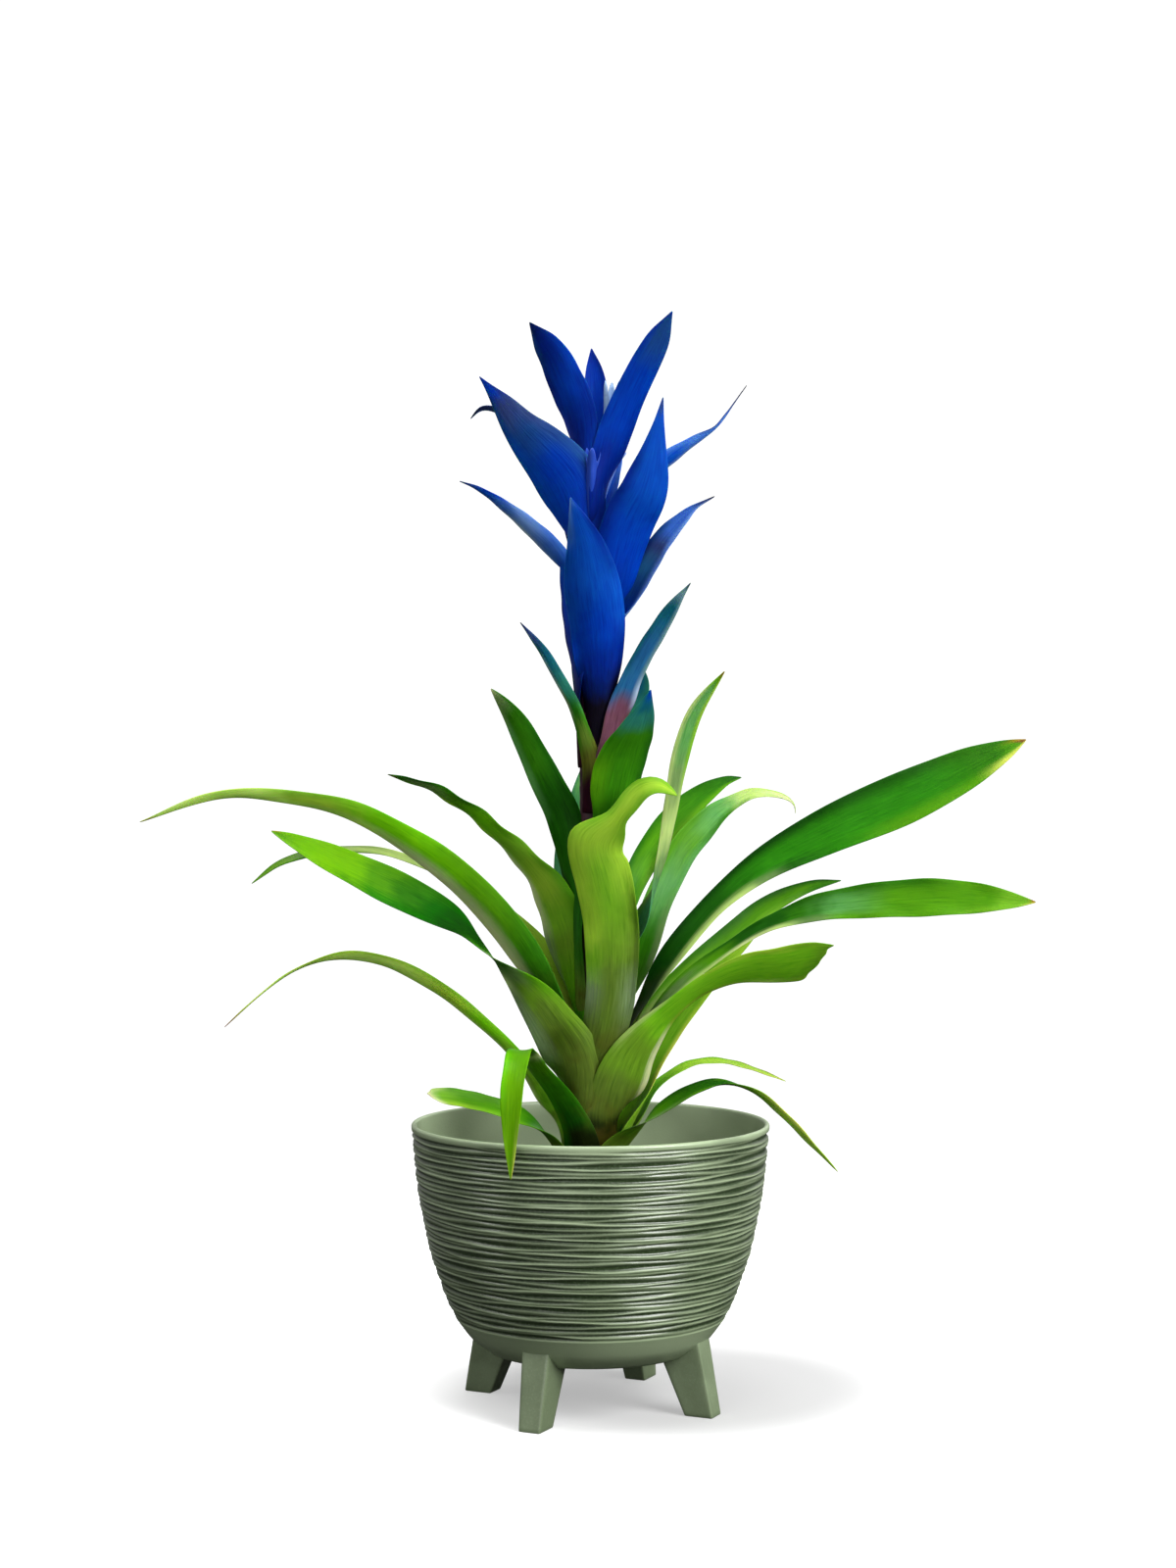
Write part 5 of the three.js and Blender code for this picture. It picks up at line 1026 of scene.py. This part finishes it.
def stem_material(name, shade):
    n = Nodes(name)
    u, v = n.uv()
    fibres = n.noise(n.vector(n.math("MULTIPLY", u, 60), n.math("MULTIPLY", v, 14)), 2.4, 3)
    cloud = n.noise(n.place(), 70, 3)
    pale = tuple(min(255, channel * 1.9 + 10) for channel in shade)
    color = n.blend(n.step(v, 0.3, 0.48), linear(SHADES["stalk_green"]), linear(shade))
    color = n.blend(n.step(fibres, 0.45, 0.7, 0.0, 0.5), color, linear(pale))
    color = n.blend(n.step(cloud, 0.5, 0.8, 0.0, 0.5), color, linear(SHADES["ink"]))
    roughness = n.math("MULTIPLY_ADD", cloud, 0.2, 0.4)
    n.bump(fibres, 0.0003, 0.6)
    return n.finish(color, roughness)


def flower_material(name, shade, depth):
    """A pale petal. depth 1 is as blue as a bract."""
    n = Nodes(name)
    u, v = n.uv()
    fibres = n.noise(n.vector(n.math("MULTIPLY", u, 30), n.math("MULTIPLY", v, 3)), 2.0, 3)
    cloud = n.noise(n.place(), 260, 3)
    color = n.ramp(v, [(0.0, SHADES["petal_foot"]), (0.35, shade), (0.7, SHADES["petal"]),
                       (0.8, SHADES["petal_edge"]), (1.0, SHADES["petal_tip"])])
    streak = linear(SHADES["petal_streak"])
    color = n.blend(n.step(fibres, 0.45, 0.75, 0.0, 0.5), color, streak)
    foot = linear(SHADES["petal_foot"])
    color = n.blend(n.step(cloud, 0.5, 0.8, 0.0, 0.35), color, foot)
    color = n.blend(depth, color, linear(SHADES["blue"]))
    roughness = n.math("MULTIPLY_ADD", cloud, 0.2, 0.4)
    n.bump(fibres, 0.0002, 0.5)
    return n.finish(color, roughness, specular=0.2, sheen=0.05)


# Pot

def ridge_cover(angle, height, count, wander):
    """How much of a ridge's crest stands here: 1 on a crest, 0 down in a groove."""
    low, high = RIDGE_LOWEST, RIDGE_HIGHEST
    spacing = (high - low) / count
    cover = 0.0
    guess = int((height - low) / spacing)
    for i in range(max(0, guess - 2), min(count, guess + 3)):
        crest = low + (i + 0.5) * spacing + wave(RIDGE_SWAYS, angle, i) * wander
        half = RIDGE_CREST_WIDTH * (1 + wave(RIDGE_SWELLS, angle, i))
        distance = (height - crest) / half
        if abs(distance) < 1:
            strength = 1 - RIDGE_DIP * (1 - math.sin(3 * angle + i * 2.2))
            cover = max(cover, (0.5 + 0.5 * math.cos(math.pi * distance)) * strength)
    comes_in = smooth((height - low + RIDGE_EARLY) / RIDGE_FADE)
    goes_out = smooth((high - height) / RIDGE_FADE)
    return mix(1.0, cover, comes_in * goes_out)


def pot_rows(wall):
    """[radius, height, is it ridged] from the middle of the base, up and over the rim, and
    down inside to the middle of the floor."""
    rows = [[radius, POT_BASE_HEIGHT, False] for radius in POT_BASE_RINGS]
    for above in POT_PLAIN_RINGS:
        height = POT_BASE_HEIGHT + above
        rows.append([along(POT_PROFILE, height), height, False])
    steps = round((RIDGE_HIGHEST - RIDGED_FROM) / RIDGE_ROW)
    for i in range(steps + 1):
        height = mix(RIDGED_FROM, RIDGE_HIGHEST, i / steps)
        rows.append([curved_along(POT_PROFILE, height), height, True])
    lip = wall / 2
    for k in range(POT_LIP_STEPS + 1):
        turn = math.pi * k / POT_LIP_STEPS
        rows.append([POT_RIM_RADIUS - lip + lip * math.cos(turn),
                     POT_RIM_HEIGHT - lip + lip * math.sin(turn), False])
    for k in range(1, POT_INSIDE_STEPS + 1):
        height = mix(POT_RIM_HEIGHT - lip, POT_FLOOR_HEIGHT + 5, k / POT_INSIDE_STEPS)
        rows.append([curved_along(POT_PROFILE, height) - wall, height, False])
    rows += [[radius, POT_FLOOR_HEIGHT, False] for radius in (POT_FLOOR_RADIUS, 30, 15, 0)]
    return rows


def build_pot(sizes, colours):
    rows = pot_rows(sizes.wall / MM)
    last = len(rows) - 1
    piece = sheet("pot_shell", sizes.sides, last)
    grooves = []

    def place_of(u, v):
        angle = 2 * math.pi * u
        radius, height, ridged = rows[round(v * last)]
        groove = 0.0
        if ridged:
            groove = 1 - ridge_cover(angle, height, sizes.ridges, sizes.wander / MM)
            radius -= groove * sizes.depth / MM
        grooves.append(groove)
        return around(radius, angle, height)

    shape(piece, place_of)
    set_values(piece, "groove", grooves)
    weld(piece)
    shade_smooth(piece)
    finish_piece(piece, "pot", pot_material("pot_sage", rgb_of(colours.pot)))


# Feet

def bowl_height(radius):
    """Height of the bowl's underside at this distance from the axis."""
    profile = [[0, POT_BASE_HEIGHT]] + [[r, h] for h, r in POT_PROFILE]
    return along(profile, radius)


def foot_place(azimuth, a, d, level, round_by):
    """A point of a foot. a, d and level run from -1 to 1 across, deep and up."""
    corner = Vector([round_by / half for half in FOOT_HALF])
    top = Vector((1 - corner.x, 1 - corner.y, 1))  # the head has no round edge
    flat = [max(corner[k] - 1, min(top[k], value)) for k, value in enumerate((a, d, level))]
    away = Vector([(value - flat[k]) / corner[k] for k, value in enumerate((a, d, level))])
    if away.length > 1e-6:
        away = away.normalized() * max(abs(away.x), abs(away.y), abs(away.z))
    a, d, level = [flat[k] + away[k] * corner[k] for k in range(3)]
    angle = math.radians(azimuth)
    share = (level + 1) / 2

    def at(s):
        across = mix(FOOT_SOLE["across"], FOOT_HEAD["across"], s) / 2 * a
        radius = mix(FOOT_SOLE["radius"], FOOT_HEAD["radius"], s)
        radius += mix(FOOT_SOLE["deep"], FOOT_HEAD["deep"], s) / 2 * d
        height = mix(FOOT_SOLE["height"], FOOT_HEAD["height"], s)
        return across, radius, height

    reach = 1.0
    for i in range(FOOT_TRIES):  # where this line meets the underside of the bowl
        across, radius, height = at(i / FOOT_TRIES)
        if height >= bowl_height(math.hypot(radius, across)) - FOOT_SINK:
            reach = i / FOOT_TRIES
            break
    across, radius, height = at(share * reach)
    return Vector((radius * math.cos(angle) - across * math.sin(angle),
                   radius * math.sin(angle) + across * math.cos(angle), height)) * MM


def build_feet(sizes, colours):
    material = pot_material("foot_sage", rgb_of(colours.pot))
    for i, azimuth in enumerate(FOOT_AZIMUTHS):
        bpy.ops.object.select_all(action="DESELECT")
        bpy.ops.mesh.primitive_cube_add(size=2)
        piece = bpy.context.active_object
        piece.name = f"foot_{i + 1}_leg"
        piece.data.name = piece.name
        bpy.ops.object.mode_set(mode="EDIT")
        bpy.ops.mesh.select_all(action="SELECT")
        bpy.ops.mesh.subdivide(number_cuts=FOOT_CUTS)
        bpy.ops.object.mode_set(mode="OBJECT")
        for vertex in piece.data.vertices:
            # Rows stand closer near the edges, where the block is rounded
            a, d, level = [math.sin(value * math.pi / 2) for value in vertex.co]
            vertex.co = foot_place(azimuth, a, d, level, sizes.foot_edge / MM)
        weld(piece)
        shade_smooth(piece, 40)
        set_values(piece, "groove", [FOOT_PAINTED_LIGHT] * len(piece.data.vertices))
        finish_piece(piece, f"foot_{i + 1}", material)


# Soil

def build_soil(sizes, colours):
    draw = random.Random(CHIP_SEED)
    bottom = [[0, SOIL_BOTTOM], [SOIL_BOTTOM_RADIUS, SOIL_BOTTOM]]
    side = [[along(POT_PROFILE, h) - sizes.wall / MM - SOIL_GAP, h] for h in SOIL_SIDE_RINGS]
    top = []
    for k in range(SOIL_TOP_STEPS + 1):
        radius = mix(SOIL_EDGE_RADIUS, ROOT_HOLE_RADIUS, k / SOIL_TOP_STEPS)
        top.append([radius, soil_height(radius)])
    hole = [[ROOT_HOLE_RADIUS, ROOT_HOLE_FLOOR], [0, ROOT_HOLE_FLOOR]]
    rows = [*bottom, *side, *top, *hole]
    last = len(rows) - 1
    bark_from = len(bottom) + len(side)
    piece = sheet("soil_bark", SOIL_SIDES, last)

    def place_of(u, v):
        row = round(v * last)
        radius, height = rows[row]
        angle = 2 * math.pi * u
        if bark_from <= row < last - 2:
            height += BARK_HEIGHT * (math.sin(radius * 0.9 + 5 * math.sin(angle * 7))
                                     * math.sin(angle * 31 + radius * 0.31)
                                     + 0.5 * math.sin(angle * 53 - radius * 0.7))
        return around(radius, angle, height)

    shape(piece, place_of)
    weld(piece)
    shade_smooth(piece, 50)
    ground = len(piece.data.vertices)
    select_only(piece)
    bpy.ops.object.mode_set(mode="EDIT")
    for _ in range(sizes.chips):
        radius = CHIP_REACH * math.sqrt(draw.uniform(0.05, 0.9))
        angle = draw.uniform(0, 2 * math.pi)
        height = soil_height(radius) + draw.uniform(0.2, 2)
        tilts = [draw.uniform(-CHIP_TILT, CHIP_TILT) for _ in range(2)]
        turn = draw.uniform(0, math.pi)
        size = [draw.uniform(*span) * MM for span in (CHIP_LONG, CHIP_WIDE, CHIP_THICK)]
        bpy.ops.mesh.select_all(action="DESELECT")
        bpy.ops.mesh.primitive_cube_add(size=1, location=around(radius, angle, height),
                                        rotation=(*tilts, turn), scale=size)
        bpy.ops.mesh.subdivide(number_cuts=2)
    bpy.ops.object.mode_set(mode="OBJECT")
    chips = [0.0] * len(piece.data.vertices)
    for vertex in piece.data.vertices[ground:]:
        vertex.co += Vector([draw.uniform(-CHIP_ROUGH, CHIP_ROUGH) * MM for _ in range(3)])
        chips[vertex.index] = 0.5 + 0.5 * math.sin(vertex.co.x * 310 + vertex.co.y * 570)
    set_values(piece, "chip", chips)
    finish_piece(piece, "soil", bark_material("soil_dark_bark", rgb_of(colours.soil)))


# Stem

def build_stem(sizes, colours):
    rows = [[0, STEM_FOOT]]
    height = float(STEM_FOOT)
    while height < STEM_SHOULDER:
        ring = 0.0
        if height > STEM_NODES_FROM:
            ring = max(0.0, 1 - abs((height % STEM_NODE_STEP) - 3) / STEM_NODE_HALF)
        rows.append([along(STEM_PROFILE, height) + ring * STEM_NODE_HEIGHT, height])
        height += STEM_ROW
    rows += STEM_CAP
    last = len(rows) - 1
    piece = sheet("stem_stalk", STEM_SIDES, last)

    def place_of(u, v):
        radius, height = rows[round(v * last)]
        angle = 2 * math.pi * u
        radius *= 1 + 0.02 * math.sin(5 * angle + height * 0.05)
        return around(radius, angle, height)

    shape(piece, place_of)
    weld(piece)
    shade_smooth(piece)
    finish_piece(piece, "stem", stem_material("stem_maroon", rgb_of(colours.stem)))


# Leaves and bracts

def section_points(half, width, t, extras):
    """One cross-section of a blade: [sideways, inwards] points from one margin to the other,
    with the midrib at [0, 0]."""
    angles = []
    for j in range(BLADE_COLUMNS + 1):
        s = 2 * j / BLADE_COLUMNS - 1
        angle = half * s
        if "roll" in extras:
            side, start, end, degrees, share = extras["roll"]
            begins = 1 - 2 * share
            inside = smooth((t - start) / ROLL_FADES[0]) * smooth((end - t) / ROLL_FADES[1])
            over = max(0.0, (s * side - begins) / (1 - begins))
            angle -= side * math.radians(degrees) * inside * over
        angles.append(angle)
    middle = BLADE_COLUMNS // 2
    points = [None] * (BLADE_COLUMNS + 1)
    points[middle] = (0.0, 0.0)
    step = width / BLADE_COLUMNS
    for j in range(middle, BLADE_COLUMNS):
        turn = (angles[j] + angles[j + 1]) / 2
        x, z = points[j]
        points[j + 1] = (x + step * math.cos(turn), z + step * math.sin(turn))
    for j in range(middle, 0, -1):
        turn = (angles[j] + angles[j - 1]) / 2
        x, z = points[j]
        points[j - 1] = (x - step * math.cos(turn), z - step * math.sin(turn))
    return points


def build_blade(leaf, row_length, thickness, paint, number, waxy, blunt):
    name = leaf["name"]
    extras = SHAPES.get(name, {})
    curve = curve_through(rib_points(leaf))
    length = curve[-1][0]
    rows = max(BLADE_ROWS_LEAST, round(length / MM / row_length))
    azimuth = math.radians(leaf["az"])
    sideways = Vector((-math.sin(azimuth), math.cos(azimuth), 0))
    piece = sheet(f"{name}_blade", BLADE_COLUMNS, rows)
    middle = piece.vertex_groups.new(name="thick")
    rises = []
    weights = []
    draw = random.Random(number)
    phase = draw.uniform(0, 6)
    ripple, waves = extras.get("ripple", BLADE_RIPPLE)
    wrap = leaf.get("clasp", CLASP_ANGLE)

    def place_of(u, v):
        cut = along(extras["cut"], u) if "cut" in extras else 0.0
        t = v - smooth((v - 0.7) / 0.3) * cut
        place, ahead = place_on(curve, t)
        lie = math.radians(curved_along(leaf["lie"], t)) if "lie" in leaf else 0.0
        level = sideways * math.cos(lie) - Vector((0, 0, 1)) * math.sin(lie)
        across = (level - ahead * level.dot(ahead)).normalized()
        turn = curved_along(leaf["turn"], t) if "turn" in leaf else 0.0
        across = Matrix.Rotation(math.radians(turn), 3, ahead) @ across
        inward = ahead.cross(across).normalized()
        clasp = 1 - smooth(t * length / MM / leaf.get("sheath", SHEATH_LENGTH))
        sheath = 2 * wrap * leaf["rib"][0][0]
        width = max(TIP_WIDTH, mix(curved_along(leaf["widths"], t, blunt), sheath, clasp))
        half = mix(mix(leaf["cup"], TIP_CUP, smooth(2 * t - 1)), wrap, clasp)
        x, z = section_points(half, width, t, extras)[round(u * BLADE_COLUMNS)]
        x += curved_along(leaf["shift"], t) if "shift" in leaf else 0.0
        edge = abs(2 * u - 1)
        open_share = smooth((t - 0.25) / 0.2) * smooth((1 - t) / 0.1)
        z += ripple * open_share * edge ** 2 * math.sin(waves * 2 * t * math.pi + phase + 2 * u)
        if "turn" in leaf and "lie" not in leaf:
            rises.append(0.5 + (u - 0.5) * max(-1.0, min(1.0, turn / SIDE_TURN)))
        else:
            rises.append(u)
        weights.append(max(0.0, 1 - edge ** 3) * smooth((1 - v) / 0.12))
        return place + (across * x + inward * z) * MM

    shape(piece, place_of)
    for index, weight in enumerate(weights):
        middle.add([index], weight, "REPLACE")
    count = len(piece.data.vertices)
    apply_modifier(piece, "SOLIDIFY", thickness=thickness, offset=0.0, vertex_group="thick",
                   thickness_vertex_group=MARGIN_THIN, use_rim=True)
    total = len(piece.data.vertices)
    set_values(piece, "rise", (rises * 2)[:total])
    set_values(piece, "inner", [0.0] * count + [1.0] * (total - count))
    apply_modifier(piece, "SUBSURF", levels=1, render_levels=1)
    piece.vertex_groups.clear()
    shade_smooth(piece)
    width = max(row[1] for row in leaf["widths"]) * MM
    material = blade_material(f"{name}_colours", paint[name], length, width, number, waxy)
    finish_piece(piece, name, material)


def build_leaves(sizes, colours):
    for number, leaf in enumerate(LEAVES):
        build_blade(leaf, LEAF_ROW, sizes.leaf_thickness, LEAF_PAINT, number, True,
                    LEAF_BLUNT)


def build_bracts(sizes, colours):
    for number, leaf in enumerate(BRACTS):
        build_blade(leaf, BRACT_ROW, sizes.bract_thickness, BRACT_PAINT,
                    BRACT_NUMBERS + number, False, BRACT_BLUNT)


# Flowers

def build_flowers(sizes, colours):
    for flower in FLOWERS:
        curve = curve_through(rib_points(flower))
        petals_from = FLOWER_SKIN_ROWS / FLOWER_ROWS
        piece = sheet(f"{flower['name']}_bloom", FLOWER_SIDES, FLOWER_ROWS)

        def place_of(u, v):
            angle = 2 * math.pi * u
            lobes = math.cos(3 * angle)
            outside = v <= petals_from
            t = v / petals_from if outside else 1 - 0.55 * (v - petals_from) / (1 - petals_from)
            reach = t * (1 + 0.09 * (lobes - 1) * smooth((t - 0.5) / 0.5))
            place, ahead = place_on(curve, reach)
            across = Vector((0, 0, 1)).cross(ahead).normalized()
            inward = ahead.cross(across).normalized()
            radius = mix(FLOWER_NECK, FLOWER_MOUTH, smooth(t / 0.7))
            radius *= 1 + FLOWER_LOBE * t * lobes + 0.18 * smooth((t - 0.75) / 0.25)
            if not outside:
                closing = smooth((1 - v) / (1 - petals_from) * 1.6)
                radius = max(0.0, radius - FLOWER_WALL) * closing
            if v in (0.0, 1.0):
                radius = 0.0
            return place + (across * math.cos(angle) + inward * math.sin(angle)) * radius * MM

        shape(piece, place_of)
        weld(piece)
        shade_smooth(piece)
        material = flower_material(f"{flower['name']}_petals", rgb_of(colours.flower),
                                   flower["depth"])
        finish_piece(piece, flower["name"], material)


# Stage

def area_light(name, place, aim, size, power):
    bpy.ops.object.light_add(type="AREA", location=place)
    light = bpy.context.active_object
    light.name = name
    light.data.energy = power
    light.data.size = size
    light.rotation_euler = (Vector(aim) - Vector(place)).to_track_quat("-Z", "Y").to_euler()


def build_stage(sizes, colours):
    floor = sheet("studio_floor", DISH_SIDES, DISH_ROWS)

    def place_of(u, v):
        # A wide dish: flat, then curved up to a wall all round
        angle = 2 * math.pi * u
        run = v * DISH_RUN
        turn = min(math.pi / 2, max(0.0, run - DISH_FLAT) / DISH_CURVE)
        rest = max(0.0, run - DISH_FLAT - DISH_CURVE * math.pi / 2)
        radius = min(run, DISH_FLAT) + DISH_CURVE * math.sin(turn)
        height = DISH_CURVE * (1 - math.cos(turn)) + rest
        return Vector((radius * math.cos(angle), radius * math.sin(angle), height))

    shape(floor, place_of)
    weld(floor)
    shade_smooth(floor)
    n = Nodes("studio_white")
    cloud = n.noise(n.place(), 3, 2)
    pale = n.blend(cloud, (0.9, 0.9, 0.9, 1), (0.93, 0.93, 0.93, 1))
    # Round the pot the floor is painted greyer and glows less: a painted shadow patch, in which
    # the pot's own soft shadow also shows
    away = n.add("ShaderNodeVectorMath", operation="DISTANCE")
    n.link(n.place(), away.inputs[0])
    away.inputs[1].default_value = PATCH_MIDDLE
    far = n.step(away.outputs["Value"], *PATCH_EDGE)
    color = n.blend(far, SHADOW_PATCH_GREY, pale)
    floor.data.materials.append(n.finish(color, 0.8, specular=0.1))
    n.shader.inputs["Emission Color"].default_value = (1, 1, 1, 1)
    glow = n.math("MULTIPLY_ADD", far, sizes.floor_glow * FAR_GLOW, sizes.floor_glow)
    n.link(glow, n.shader.inputs["Emission Strength"])
    # Further out it is a plain white light, all one brightness
    white = n.add("ShaderNodeEmission")
    white.inputs["Strength"].default_value = WHITE_POWER
    join = n.add("ShaderNodeMixShader")
    n.link(n.step(away.outputs["Value"], *WHITE_EDGE), join.inputs["Fac"])
    n.link(n.shader.outputs["BSDF"], join.inputs[1])
    n.link(white.outputs["Emission"], join.inputs[2])
    n.link(join.outputs["Shader"], n.tree.nodes["Material Output"].inputs["Surface"])
    # The floor's own glow stays off the plant, so that the light keeps its direction
    floor.visible_diffuse = False
    floor.visible_glossy = False

    # A dark cloth under the floor, which only the bounced light meets
    bpy.ops.mesh.primitive_plane_add(size=4, location=(0, 0, -0.003))
    cloth = bpy.context.active_object
    cloth.name = "floor_cloth"
    cloth.visible_camera = False
    cloth.visible_shadow = False
    n = Nodes("cloth_grey")
    weave = n.noise(n.place(), 40, 2)
    color = n.blend(weave, (0.08, 0.08, 0.08, 1), (0.12, 0.12, 0.12, 1))
    cloth.data.materials.append(n.finish(color, 0.9, specular=0.05))

    for name, place, aim, size, setting in LIGHTS:
        area_light(name, place, aim, size, getattr(sizes, setting))

    world = bpy.data.worlds.new("studio_air")
    bpy.context.scene.world = world
    world.use_nodes = True
    background = world.node_tree.nodes["Background"]
    background.inputs["Color"].default_value = (1, 1, 1, 1)
    background.inputs["Strength"].default_value = sizes.air

    bpy.ops.object.camera_add(location=CAMERA_PLACE, rotation=(math.radians(90), 0, 0))
    camera = bpy.context.active_object
    camera.name = "photo_camera"
    camera.data.lens = CAMERA_LENS
    camera.data.sensor_width = CAMERA_SENSOR
    camera.data.shift_y = CAMERA_SHIFT
    camera.data.clip_start = 0.01
    bpy.context.scene.camera = camera
    bpy.context.scene.view_settings.view_transform = "Standard"


# Add-on

def length_property(name, description, default):
    return bpy.props.FloatProperty(name=name, description=description, default=default,
                                   min=0.0, unit="LENGTH", subtype="DISTANCE", precision=5)


def light_property(name, description, default):
    return bpy.props.FloatProperty(name=name, description=description, default=default, min=0.0)


def count_property(name, description, default, least):
    return bpy.props.IntProperty(name=name, description=description, default=default, min=least)


def colour_property(name, description, rgb):
    return bpy.props.FloatVectorProperty(name=name, description=description, size=3,
                                         default=linear(rgb)[:3], min=0.0, max=1.0,
                                         subtype="COLOR")


def rgb_of(colour):
    """A colour property back as a shade from 0 to 255."""
    def channel(value):
        c = value * 12.92 if value <= 0.0031308 else 1.055 * value ** (1 / 2.4) - 0.055
        return c * 255
    return tuple(channel(value) for value in colour)


class GuzmaniaSizes(bpy.types.PropertyGroup):
    wall: length_property("Pot wall", "Thickness of the pot's wall", 2.6 * MM)
    depth: length_property("Groove depth", "Depth of the grooves between the ridges", 1.4 * MM)
    wander: length_property("Ridge wander", "How far a ridge strays up and down", 1.0 * MM)
    foot_edge: length_property("Foot edge", "Rounding of the edges of a foot", 1.0 * MM)
    leaf_thickness: length_property("Leaf thickness", "Thickness of a leaf", 0.8 * MM)
    bract_thickness: length_property("Bract thickness", "Thickness of a bract", 0.7 * MM)
    ridges: count_property("Ridges", "Ridges round the pot", 38, 4)
    sides: count_property("Pot sides", "Faces round the pot", 288, 24)
    chips: count_property("Bark chips", "Loose bits of bark", 260, 0)
    key_power: light_property("Key light", "Light from the front", 82.0)
    top_power: light_property("Top light", "Light from above", 24.0)
    fill_power: light_property("Fill light", "Soft light from the left", 5.0)
    side_power: light_property("Side light", "Light from the far left", 4.5)
    back_power: light_property("Back light", "Light from behind", 3.0)
    floor_glow: light_property("Floor glow", "Light that the floor gives by itself", 0.4)
    air: light_property("Room light", "Even light of the room", 0.29)


class GuzmaniaColours(bpy.types.PropertyGroup):
    pot: colour_property("Pot", "Sage green of the pot and its feet", (104, 119, 88))
    soil: colour_property("Soil", "Dark bark of the soil", (52, 34, 22))
    stem: colour_property("Stem", "Maroon of the flower stalk", (52, 10, 28))
    flower: colour_property("Flowers", "Pale blue of the small flowers", (120, 165, 230))


class BuildStep:
    """What the operators share."""
    bl_options = {"REGISTER", "UNDO"}
    build = None

    def execute(self, context):
        scene = context.scene
        type(self).build(scene.guzmania_sizes, scene.guzmania_colours)
        return {"FINISHED"}


class GUZMANIA_OT_pot(BuildStep, bpy.types.Operator):
    """Build the ribbed pot"""
    bl_idname = "guzmania.pot"
    bl_label = "Pot"
    build = staticmethod(build_pot)


class GUZMANIA_OT_feet(BuildStep, bpy.types.Operator):
    """Build the four feet of the pot"""
    bl_idname = "guzmania.feet"
    bl_label = "Feet"
    build = staticmethod(build_feet)


class GUZMANIA_OT_soil(BuildStep, bpy.types.Operator):
    """Build the bark mix in the pot"""
    bl_idname = "guzmania.soil"
    bl_label = "Soil"
    build = staticmethod(build_soil)


class GUZMANIA_OT_stem(BuildStep, bpy.types.Operator):
    """Build the stalk of the flower spike"""
    bl_idname = "guzmania.stem"
    bl_label = "Stem"
    build = staticmethod(build_stem)


class GUZMANIA_OT_leaves(BuildStep, bpy.types.Operator):
    """Build the green leaves of the rosette"""
    bl_idname = "guzmania.leaves"
    bl_label = "Leaves"
    build = staticmethod(build_leaves)


class GUZMANIA_OT_bracts(BuildStep, bpy.types.Operator):
    """Build the coloured bracts of the spike"""
    bl_idname = "guzmania.bracts"
    bl_label = "Bracts"
    build = staticmethod(build_bracts)


class GUZMANIA_OT_flowers(BuildStep, bpy.types.Operator):
    """Build the small flowers between the top bracts"""
    bl_idname = "guzmania.flowers"
    bl_label = "Flowers"
    build = staticmethod(build_flowers)


class GUZMANIA_OT_stage(BuildStep, bpy.types.Operator):
    """Build the floor, the lights and the camera"""
    bl_idname = "guzmania.stage"
    bl_label = "Stage"
    build = staticmethod(build_stage)


OPERATORS = (GUZMANIA_OT_pot, GUZMANIA_OT_feet, GUZMANIA_OT_soil, GUZMANIA_OT_stem,
             GUZMANIA_OT_leaves, GUZMANIA_OT_bracts, GUZMANIA_OT_flowers, GUZMANIA_OT_stage)


class GUZMANIA_PT_panel(bpy.types.Panel):
    """Lists the steps that build the plant, with its sizes and colours"""
    bl_label = "Potted guzmania"
    bl_space_type = "VIEW_3D"
    bl_region_type = "UI"
    bl_category = "Guzmania"

    def draw(self, context):
        for operator in OPERATORS:
            self.layout.operator(operator.bl_idname)
        for group in (context.scene.guzmania_sizes, context.scene.guzmania_colours):
            box = self.layout.box()
            for key in group.__annotations__:
                box.prop(group, key)


CLASSES = (GuzmaniaSizes, GuzmaniaColours, *OPERATORS, GUZMANIA_PT_panel)


def register():
    for cls in CLASSES:
        bpy.utils.register_class(cls)
    bpy.types.Scene.guzmania_sizes = bpy.props.PointerProperty(type=GuzmaniaSizes)
    bpy.types.Scene.guzmania_colours = bpy.props.PointerProperty(type=GuzmaniaColours)


def unregister():
    del bpy.types.Scene.guzmania_colours
    del bpy.types.Scene.guzmania_sizes
    for cls in reversed(CLASSES):
        bpy.utils.unregister_class(cls)


def main():
    register()
    bpy.ops.guzmania.pot()
    bpy.ops.guzmania.feet()
    bpy.ops.guzmania.soil()
    bpy.ops.guzmania.stem()
    bpy.ops.guzmania.leaves()
    bpy.ops.guzmania.bracts()
    bpy.ops.guzmania.flowers()
    bpy.ops.guzmania.stage()


if __name__ == "__main__":
    main()
